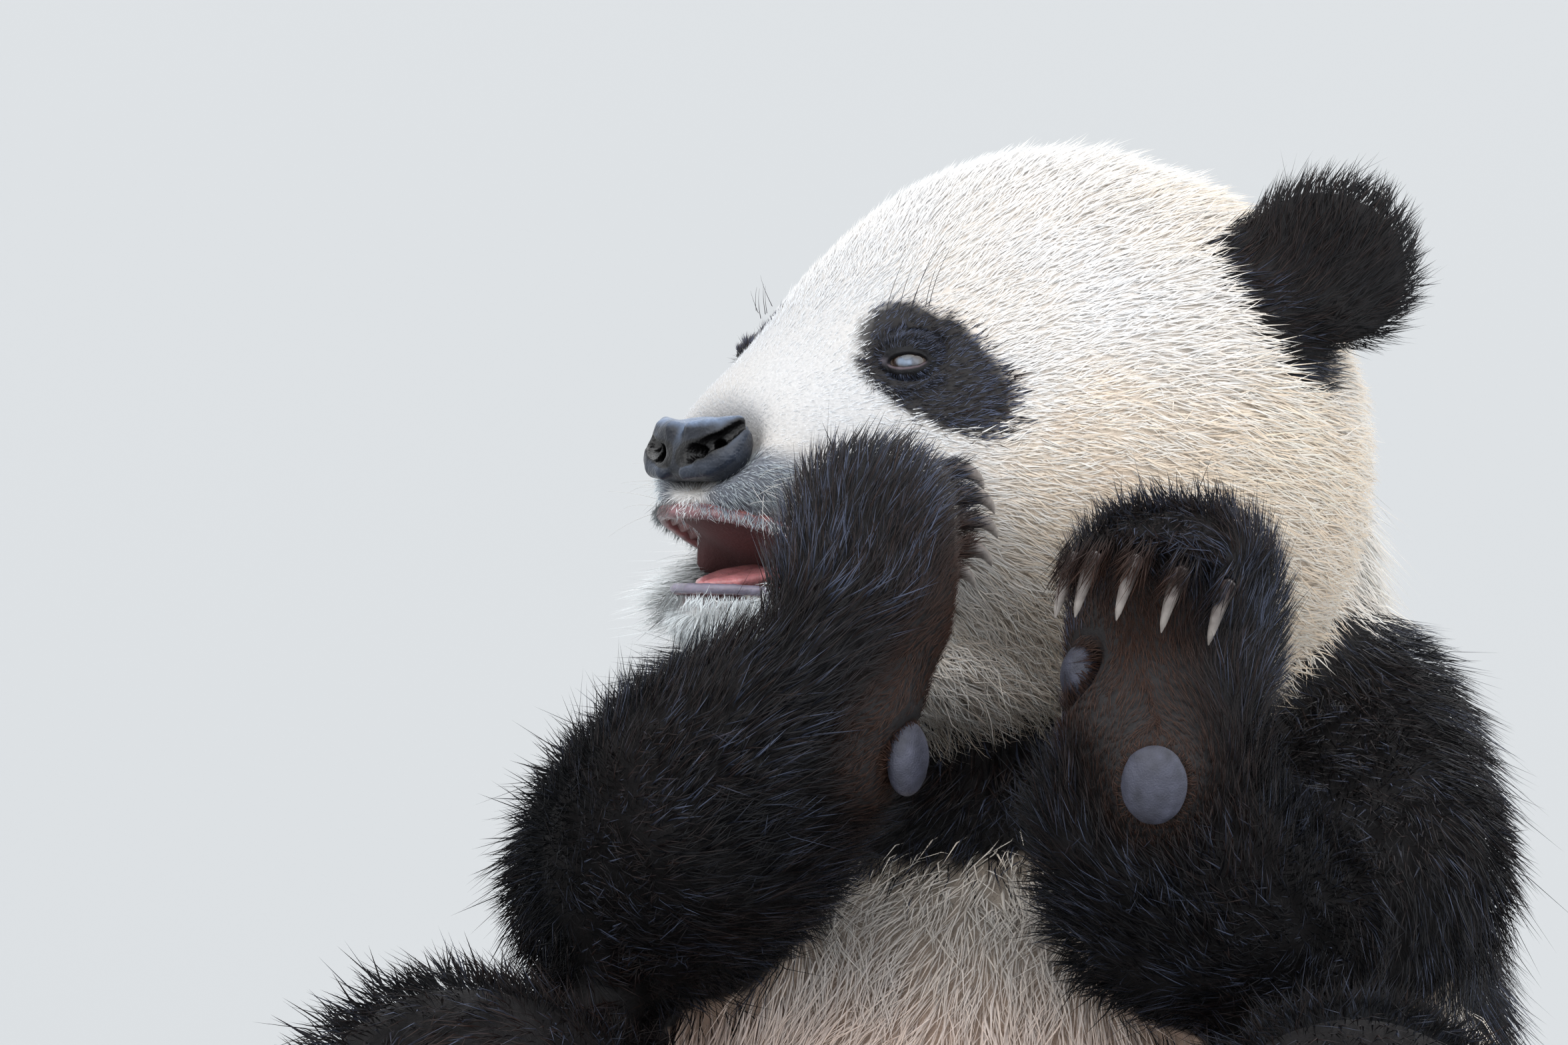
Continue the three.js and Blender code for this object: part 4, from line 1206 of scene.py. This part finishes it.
def tuft_piece(name, which, rings, material, slot_name, wave=0.0):
    """Closed slender tufts, each a point at the root, rings of three, and a point at the tip."""
    n = len(which)
    b, f, l, long, wide = base[which], first[which], last[which], length[which], width[which]
    s, k = side_way[which], up[which]
    col, rs, ts = colour[which], root_shade[which], tip_shade[which]
    per = 2 + 3 * len(rings)
    verts = np.empty((n, per, 3))
    cols = np.empty((n, per, 3))
    facing = np.empty((n, per, 3))
    verts[:, 0], cols[:, 0], facing[:, 0] = b, col * rs, k
    phase = rng.random((n, 1)) * WAVE_TURN
    for i, (t, thick) in enumerate(rings):
        c = centreline(t, b, f, l, long)
        along = unit(f * (1 - t) + l * t)
        if wave:
            c = c + wave * long[:, None] * t * np.sin(phase + 5.5 * t) * s + 0.6 * wave * long[:,
                None] * t * np.cos(phase + 5.0 * t) * k
        over = unit(np.cross(s, along))
        over *= np.sign((over * k).sum(1, keepdims=True) + 1e-9)
        w = (0.5 * wide * thick)[:, None]
        verts[:, 1 + 3 * i] = c + w * s
        verts[:, 2 + 3 * i] = c + 0.75 * w * over
        verts[:, 3 + 3 * i] = c - w * s
        facing[:, 1 + 3 * i], facing[:, 2 + 3 * i], facing[:, 3 + 3 * i] = s, over, -s
        cols[:, 1 + 3 * i : 4 + 3 * i] = (col * mix(rs, 1.0, min(1, t * 2.2)))[:, None]
    end = centreline(1.0, b, f, l, long)
    if wave:
        end = end + wave * long[:, None] * np.sin(phase + 5.5) * s
    end[:, 2] = np.maximum(end[:, 2], 1.0)
    verts[:, :, 2] = np.maximum(verts[:, :, 2], 0.6)
    verts[:, -1], cols[:, -1], facing[:, -1] = end, col * ts, l
    m = 3 * len(rings)
    tri = [[0, 1 + (j + 1) % 3, 1 + j] for j in range(3)]
    for i in range(len(rings) - 1):
        for j in range(3):
            p, q = 1 + 3 * i + j, 1 + 3 * i + (j + 1) % 3
            tri += [[p, q, q + 3], [p, q + 3, p + 3]]
    tri += [[m - 2 + j, m - 2 + (j + 1) % 3, m + 1] for j in range(3)]
    tri = np.array(tri)
    faces = (tri[None] + per * np.arange(n)[:, None, None]).reshape(-1, 3)
    o = mesh_object(name, verts.reshape(-1, 3), faces, material, colours=np.clip(cols, 0, 1).reshape(-1, 3))
    lean = 0.78 if slot_name == "coat_white" else 0.35  # a soft coat is lit as the body under it is
    facing = unit((1 - lean) * unit(facing) + lean * k[:, None])
    o.data.normals_split_custom_set_from_vertices(facing.reshape(-1, 3).astype(np.float32))
    place = unwrapped(root[which], root[which].mean(0))
    patch = [(0.5, 0.0)]
    for t, _ in rings:
        patch += [(0.0, t), (0.5, t + 0.04), (1.0, t)]
    patch += [(0.5, 1.0)]
    uv = (place[:, None] + 0.003 * np.array(patch)[None]).reshape(-1, 2)
    layer = o.data.uv_layers.new(name="OFBake")
    layer.data.foreach_set("uv", uv[faces.ravel()].astype(np.float32).ravel())
    return o


region = np.array([kind(g) for g in part_names])[np.argmin(np.stack([d_root[g] for g in part_names]), 0)]
zone = np.where(np.isin(region, ["head", "ear"]), 0,
    np.where(np.isin(region, ["upper_arm", "forearm", "forepaw"]), 1,
    np.where(np.isin(region, ["neck", "trunk", "tail"]), 2, 3)))
curly = (throat_root > 0.35) & ~is_black & (zone == 0)
zone = np.where(curly, 4, zone)
TUFTS_PER_PIECE, FEWEST = 33000, 40
for number, zone_name in enumerate(["head", "forelegs", "body", "hindlegs", "throat"]):
    for dark_side, material, slot_name, word in ((False, WHITE_HAIR, "coat_white", "white"),
            (True, BLACK_HAIR, "coat_black", "black")):
        which = np.flatnonzero((zone == number) & (is_black == dark_side))
        if len(which) < FEWEST:
            continue
        parts = -(-len(which) // TUFTS_PER_PIECE)
        for k in range(parts):
            rings = [(0.2, 1.0), (0.45, 0.95), (0.72, 0.75)] if zone_name == "throat" else [(0.38, 1.0)]
            wave = 0.16 if zone_name == "throat" else 0.0
            tuft_piece(f"coat_{zone_name}_{word}_{k + 1}", which[k::parts], rings, material, slot_name,
                wave)

# ---------------------------------------------------------------- nose leather
NOSTRIL = [[214, 8, -65], [210, 17, -62], [205.5, 24, -57], [201, 29, -49]]
WING = [[208, 8, -72], [205.5, 19, -69.5], [201.5, 28, -62.5], [199.5, 30, -52]]


def nostril(m):
    """Distance to the open nostril, on the left half of the nose."""
    hole = [rod(m, np.array(NOSTRIL) + k * np.array([1.8, 1.5, 0.3]), [4.2, 4.2, 3.6, 2.3])
        for k in (0, 1.3, 2.6, 4, 5.4)]
    hole.append(rod(m, [[212, 11, -64.5], [200, 14, -61]], [4.6, 2.8]))
    hole.append(rod(m, [[206, 22, -59], [196, 18, -58]], [3.2, 2.2]))
    return np.minimum.reduce(hole)


def nose_shape(h):
    a, c = h[..., 0], h[..., 2]
    m = h.copy()
    m[..., 1] = np.abs(h[..., 1])
    b = m[..., 1]
    middle = -58.3 - 0.30 * (a - 198)
    r = (np.abs((a - 197.5) / 13.4) ** 2.3 + (b / 28.2) ** 2.4
        + np.abs((c - middle) / 14.6) ** 2.3) ** (1 / 2.3)
    d = (r - 1) * 15
    d = soft_min(d, np.linalg.norm((m - [199.5, 16.5, -60]) / [10.6, 12.2, 11.8], axis=-1) * 11.5 - 11.5, 5)
    d = soft_min(d, rod(m, [[208.5, 7, -53.5], [205.5, 18, -51], [200.5, 25.5, -47]], [4.4, 4.0, 2.8]), 4)
    d = soft_min(d, rod(m, WING, [3.2, 3.4, 3.2, 2.4]), 2.4)
    d = -soft_min(-d, nostril(m), 0.9)
    groove = rod(h, [[214, 0, -58], [213, 0, -70], [208, 0, -80]], [0.2, 0.9, 1.4])
    d = -soft_min(-d, groove, 1.8)
    d = d + 0.22 * noise(from_head(h.reshape(-1, 3)), 3.2, 61).reshape(d.shape)
    return np.maximum(d, 182 - a)


p, q = carved(nose_shape, (180, -36, -82), (216, 36, -36), 0.75)
h = to_head(p)
m = np.stack([h[:, 0], np.abs(h[:, 1]), h[:, 2]], 1)
inner = np.minimum(nostril(m), rod(m, np.array(NOSTRIL) - [3.5, 1, 0], [5.2, 5.0, 4.2, 2.6]))
inner = 1 - step(inner, 0.35, 1.5)
leather = np.array([0.013, 0.016, 0.024])
rgb = mottled(leather, p, 0.25, 6, 62)
# Painted highlight: the upward-facing top of the nose leather is painted a lighter blue in patches, standing
# in for the sky's reflection on it.
skyward = vertex_normals(p, q) @ unit(CROWN + 0.4 * FORWARD)
rgb = tint(rgb, [0.180, 0.245, 0.370], 0.85 * step(skyward, 0.30, 0.95) * step(noise(p, 9, 63), -1.0, 0.3))
# Painted highlight: lighter blue-grey along the raised rims of the nostril wings.
rgb = tint(rgb, [0.040, 0.052, 0.078], 0.6 * step(rod(m, WING, [1, 1, 1, 1]), 4.5, 1.5))
# Painted shade: the inside of each nostril is painted near black.
rgb = tint(rgb, [0.0015, 0.0012, 0.0015], inner)
nose = mesh_object("nose_leather", p, q, skin_like("nose_leather", 0.38, 1.15, 0.32, cells=True, coat=0.12,
    spec=0.35), colours=np.clip(rgb, 0, 1))
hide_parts("nose")

# ---------------------------------------------------------------- lips
def both_ways(line):
    return line + [[a, -b, c] for a, b, c in line[-2::-1]]


def lip(name, line, radii, inward, colour_out, colour_in):
    line, radii = both_ways(line), radii + radii[-2::-1]
    line = np.array(line, float)
    lo, hi = line.min(0) - 10, line.max(0) + 10

    def shape(h):
        d = rod(h, line, radii)
        ribs = 0.35 * noise(from_head(h.reshape(-1, 3)), 3.6, 71).reshape(d.shape)
        return d + ribs

    p, q = carved(shape, lo, hi, 0.9)
    h = to_head(p)
    centre = np.array([150.0, 0.0, line[:, 2].mean() + inward])
    facing_in = ((centre - h) / np.linalg.norm(centre - h, axis=1,
        keepdims=True) * (vertex_normals(p, q) @ HEAD_AXES.T)).sum(1)
    t = step(facing_in, -0.35, 0.45)[:, None]
    rgb = mix(np.array(colour_out), np.array(colour_in), t) * (1 + 0.22 * noise(p, 4, 72))[:, None]
    return mesh_object(name, p, q, LIP, colours=np.clip(rgb, 0, 1))


LIP = skin_like("lip", 0.38, 0.9, 0.25, coat=0.35, mottle=0.2, subsurface=0.15)
upper_lip = lip("lip_upper", [[a - 1.6, b * 0.95, c - 0.9] for a, b, c in UPPER_LIP],
    [1.6, 1.9, 2.2, 2.4, 2.6, 2.8, 3.0, 3.0], 12, [0.22, 0.11, 0.12], [0.40, 0.17, 0.17])
lower_lip = lip("lip_lower", [[a - 1.0, b * 0.97, c + 0.8] for a, b, c in LOWER_LIP],
    [1.6, 1.9, 2.1, 2.2, 2.3, 2.3, 2.3], -10, [0.21, 0.19, 0.25], [0.40, 0.21, 0.24])


def palate_shape(h):
    a, b, c = h[..., 0], np.abs(h[..., 1]), h[..., 2]
    line = np.array(UPPER_LIP, float)
    wide = np.interp(a, np.append(line[:, 0], 204.5), np.append(line[:, 1], -2)) * step(a, 80, 110)
    height = -86.3 + 7.5 * (1 - np.clip(b / np.maximum(wide, 4), 0, 1) ** 2) * step(205 - a, 0, 30)
    ridges = 0.7 * np.sin((a + 0.10 * b) * 2 * np.pi / 8.5) * step(a, 90, 120)
    return np.maximum((b - wide + 1.2) * 0.85, np.abs(c - height - ridges) - 2.4)


p, q = carved(palate_shape, (88, -48, -94), (208, 48, -72), 1.3)
h = to_head(p)
# Painted shade: the palate passes from rose at the lip to near black deeper in the mouth.
rgb = mix(np.array([0.26, 0.095, 0.09]), np.array([0.022, 0.006, 0.006]),
    step(182 - h[:, 0], 0, 48)[:, None])
palate = mesh_object("palate", p, q, LIP, colours=np.clip(rgb * (1 + 0.2 * noise(p, 5, 73))[:, None], 0, 1))

# ---------------------------------------------------------------- tongue
stations = np.array([[92, -93, 24, 6], [110, -92.5, 25, 7], [128, -94.5, 25, 7], [146, -99.5, 23, 6.6],
    [160, -105, 19.5, 5.8], [170, -110, 15, 4.8], [176, -112, 9.5, 3.4], [179, -113, 4, 1.8]])
rows = np.linspace(0, len(stations) - 1, 46)
rings = []
for r in rows:
    i = min(int(r), len(stations) - 2)
    a, c, w, deep = mix(stations[i], stations[i + 1], r - i)
    t = round_turn(32)
    across, rise = w * np.cos(t), deep * np.sin(t)
    rise = np.where(rise > 0, rise * (1 - 0.55 * np.exp(-((across / (0.22 * w)) ** 2))),
        rise) + 0.12 * w * (across / w) ** 2
    rings.append(np.stack([np.full(32, a), across, c + rise], 1))
verts, tri = lofted(np.array(rings))
p = from_head(verts)
rgb = mottled(np.array([0.60, 0.24, 0.25]), p, 0.15, 5, 81)
tongue = mesh_object("tongue_flesh", p, tri, skin_like("tongue", 0.34, 1.0, 0.25, cells=True, coat=0.4,
    subsurface=0.2), colours=np.clip(rgb, 0, 1))
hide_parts("tongue")

# ---------------------------------------------------------------- claws
HORN = skin_like("claw", 0.32, 0.8, 0.12, coat=0.2, mottle=0.22)
CLAW_ARC, CLAW_BEND, CLAW_THICK = 21.6, 1.25, 4.35


def claw(name, root_at, out, over, long=1.0):
    ahead, bend = unit(out), unit(over)
    across = unit(np.cross(ahead, bend))
    t = np.concatenate([[-0.14], np.linspace(-0.1, 0.93, 26), [0.965, 0.985]]) * long
    at = np.array(root_at) + CLAW_ARC * (np.sin(CLAW_BEND * t)[:, None] * ahead
        + (1 - np.cos(CLAW_BEND * t))[:, None] * bend)
    forward = np.cos(CLAW_BEND * t)[:, None] * ahead + np.sin(CLAW_BEND * t)[:, None] * bend
    over_way = unit(np.cross(forward, across))
    s = np.clip(t / long, 0, 1)
    radius = CLAW_THICK * (1 - 0.80 * s**1.5) * np.sqrt(np.clip((1.0 - t / long) / 0.16, 0.03,
        1)) * np.clip(0.55 + (t / long + 0.14) * 6, 0, 1)
    turn = round_turn(18)
    flat = np.where(np.sin(turn) > 0, 1.0, 0.86)
    rings = at[:, None] + radius[:, None, None] * (
        0.8 * np.cos(turn)[None, :, None] * across + (flat * np.sin(turn))[None, :, None] * over_way[:, None])
    verts, tri = lofted(rings)
    share = np.concatenate([np.repeat(s, 18), [0, 1]])
    streak = noise(verts * [1, 1, 1], 2.2, 97) * 0.18
    rgb = mix(np.array([0.075, 0.052, 0.050]), np.array([0.42, 0.38, 0.35]),
        np.clip(share * 1.15 + streak, 0, 1)[:, None] ** 1.25)
    o = mesh_object(name.replace("claw", "horn"), verts, tri, HORN, colours=np.clip(rgb, 0, 1))
    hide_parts(name)


for claw_place in claws:
    claw(*claw_place)

# ---------------------------------------------------------------- pads
PAD = skin_like("pad", 0.60, 0.7, 0.22, cells=True, mottle=0.25)
for name, (at, size, angles) in PADS.items():
    turn, off = np.meshgrid(round_turn(72), np.linspace(0.03, np.pi - 0.03, 48))
    ball = np.stack([np.sin(off) * np.cos(turn), np.sin(off) * np.sin(turn), np.cos(off)], -1)
    inset = 2.6 if name.startswith("thumb") else 0.5
    verts, tri = lofted(np.array(at) + (ball * (np.array(size) - inset)) @ pad_turn(angles).T)
    outward = unit(verts - np.array(at))
    verts = verts + (0.14 * noise(verts, 2.0, 98) + 0.4 * noise(verts, 7, 99))[:, None] * outward
    rgb = mottled(np.array([0.046, 0.048, 0.070]), verts, 0.4, 4, 90)
    o = mesh_object(f"sole_{name}", verts, tri, PAD, colours=np.clip(rgb, 0, 1))
    part, side = name.split("_")
    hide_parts(f"pad_{part}_{side}")

# ---------------------------------------------------------------- whiskers
whisker_rng = np.random.default_rng(5)
hairs = []
for way_sign in SIDES.values():
    for k in range(20):
        a, b, c = (176 + 16 * whisker_rng.random(), 24 + 8 * whisker_rng.random(),
            -62 - 20 * whisker_rng.random())
        hairs.append(([a - 4, b * way_sign, c], [0.25, way_sign * 0.9, -0.25 + 0.5 * whisker_rng.random()],
            24 + 22 * whisker_rng.random()))
    for k in range(6):
        b = 40 + 22 * whisker_rng.random()
        hairs.append(([150 - 0.3 * (b - 40), b * way_sign, 18 + 6 * whisker_rng.random()],
            [0.25, way_sign * 0.25, 0.95], (30 + 26 * whisker_rng.random()) * (1.0 if way_sign > 0
            else 0.4)))
    for k in range(10):
        hairs.append(([176 - 12 * whisker_rng.random(), 18 * whisker_rng.random() * way_sign, -126],
            [0.55, way_sign * 0.35, -0.75], 14 + 10 * whisker_rng.random()))
start = np.array([h[0] for h in hairs], float)
aim = unit(np.array([h[1] for h in hairs], float) + 0.18 * whisker_rng.normal(0, 1, (len(hairs), 3)))
long = np.array([h[2] for h in hairs])
sag = np.stack([-0.5 - 0.3 * whisker_rng.random(len(hairs)), np.zeros(len(hairs)),
    -0.25 * np.ones(len(hairs))], 1)
WHISKER_RINGS, WHISKER_SIDES = 7, 4
t = np.linspace(0, 1, WHISKER_RINGS)[None, :, None]
line = start[:, None] + long[:, None, None] * (aim[:, None] * t + sag[:, None] * 0.35 * t * t)
along = unit(np.gradient(line, axis=1))
across = unit(np.cross(along, [0.1, 0.2, 1.0]))
over = np.cross(along, across)
thick = 0.17 * (1 - 0.8 * t)
turn = round_turn(WHISKER_SIDES)
rings = line[:, :, None] + thick[..., None] * (np.cos(turn)[:, None] * across[:, :, None]
    + np.sin(turn)[:, None] * over[:, :, None])
per = WHISKER_RINGS * WHISKER_SIDES
verts, faces = from_head(rings.reshape(-1, 3)), []
for i in range(WHISKER_RINGS - 1):
    for j in range(WHISKER_SIDES):
        k = (j + 1) % WHISKER_SIDES
        p, q = i * WHISKER_SIDES + j, i * WHISKER_SIDES + k
        faces.append([p, q, q + WHISKER_SIDES, p + WHISKER_SIDES])
faces += [[3, 2, 1, 0], [per - 4, per - 3, per - 2, per - 1]]
faces = (np.array(faces)[None] + per * np.arange(len(hairs))[:, None, None]).reshape(-1, 4)
pale_hair = np.repeat(start[:, 2] < 0, per)[:, None]
rgb = np.where(pale_hair, [0.75, 0.74, 0.72], [0.06, 0.055, 0.06])
whiskers = mesh_object("whiskers", verts, faces, BLACK_HAIR, colours=rgb)

# ---------------------------------------------------------------- skin
skin_rgb = white_coat(points, d_skin) * np.array([0.95, 0.92, 0.89])
skin_warm = np.clip((skin_rgb[:, 0] - skin_rgb[:, 2]) * 6, 0, 1)[:, None]
skin_rgb = skin_rgb * mix(1.0, np.array([0.96, 0.88, 0.80]), skin_warm)
skin_rgb = tint(skin_rgb, [0.012, 0.010, 0.011], step(black_skin, -1.5, 1.5))
h_skin = to_head(points)
gape = in_mouth(h_skin)
# The skin inside the open mouth is painted gum red, darker deeper into the mouth: painted shade.
gum = mix(np.array([0.12, 0.042, 0.042]), np.array([0.03, 0.009, 0.009]),
    step(180 - h_skin[:, 0], 0, 70)[:, None])
skin_rgb = mix(skin_rgb, gum, step(gape, -3.0, 0.5)[:, None])
# Painted shade: the skin behind the nose leather, seen through the nostrils, is painted near black.
under_nose = np.linalg.norm((h_skin - np.array([199.0, 0, -59.0])) / np.array([15.0, 28.0, 15.0]), axis=1)
skin_rgb = tint(skin_rgb, [0.002, 0.0016, 0.002], 1 - step(under_nose, 0.95, 1.1))


def skin_material():
    m, nodes, wire, shader, paint = painted("skin", Roughness=0.75)
    grain = speckle(nodes, wire, 700, 3)
    blend = nodes.new("ShaderNodeMix")
    blend.data_type = "RGBA"
    blend.blend_type = "MULTIPLY"
    blend.inputs["Factor"].default_value = 0.35
    wire(paint, blend.inputs["A"])
    wire(grain, blend.inputs["B"])
    wire(blend.outputs["Result"], shader.inputs["Base Color"])
    relief_on(nodes, wire, shader, grain, 0.5, 0.001)
    return m


skin = mesh_object("skin", points, quads, skin_material(), colours=np.clip(skin_rgb, 0, 1))
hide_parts(*FLESH)

# ---------------------------------------------------------------- light and floor
def sun(name, azimuth, elevation, strength, spread_deg, tint=(1, 1, 1)):
    lamp = bpy.data.lights.new(name, "SUN")
    lamp.energy, lamp.angle, lamp.color = strength, math.radians(spread_deg), tint
    o = bpy.data.objects.new(name, lamp)
    a, e = math.radians(azimuth), math.radians(elevation)
    back = Vector((math.sin(a) * math.cos(e), -math.cos(a) * math.cos(e), math.sin(e)))
    o.rotation_mode = "QUATERNION"
    o.rotation_quaternion = back.to_track_quat("Z", "Y")
    bpy.context.scene.collection.objects.link(o)


sun("key", -28, 55, 1.24, 70, (1.0, 0.99, 0.97))
sun("fill", 62, 30, 0.88, 80, (0.93, 0.96, 1.0))
sun("front", 14, 14, 0.72, 90, (0.97, 0.98, 1.0))
sun("rim", 170, 45, 0.9, 60)
world = bpy.data.worlds.new("studio")
bpy.context.scene.world = world
world.use_nodes = True
sky = world.node_tree.nodes["Background"]
sky.inputs["Color"].default_value = (0.93, 0.96, 1.0, 1)
sky.inputs["Strength"].default_value = 0.92

FLOOR_HALF = 40.0
floor_mesh = bpy.data.meshes.new("floor")
floor_corners = [(x * FLOOR_HALF, y * FLOOR_HALF, 0) for x, y in ((-1, -1), (1, -1), (1, 1), (-1, 1))]
floor_mesh.from_pydata(floor_corners, [], [(0, 1, 2, 3)])
floor = bpy.data.objects.new("floor", floor_mesh)
bpy.context.scene.collection.objects.link(floor)
pale_floor = bpy.data.materials.new("floor")
pale_floor.use_nodes = True
floor_shader = pale_floor.node_tree.nodes["Principled BSDF"]
floor_shader.inputs["Base Color"].default_value = (0.43, 0.44, 0.445, 1)
floor_shader.inputs["Roughness"].default_value = 0.9
floor_mesh.materials.append(pale_floor)

bpy.context.view_layer.update()
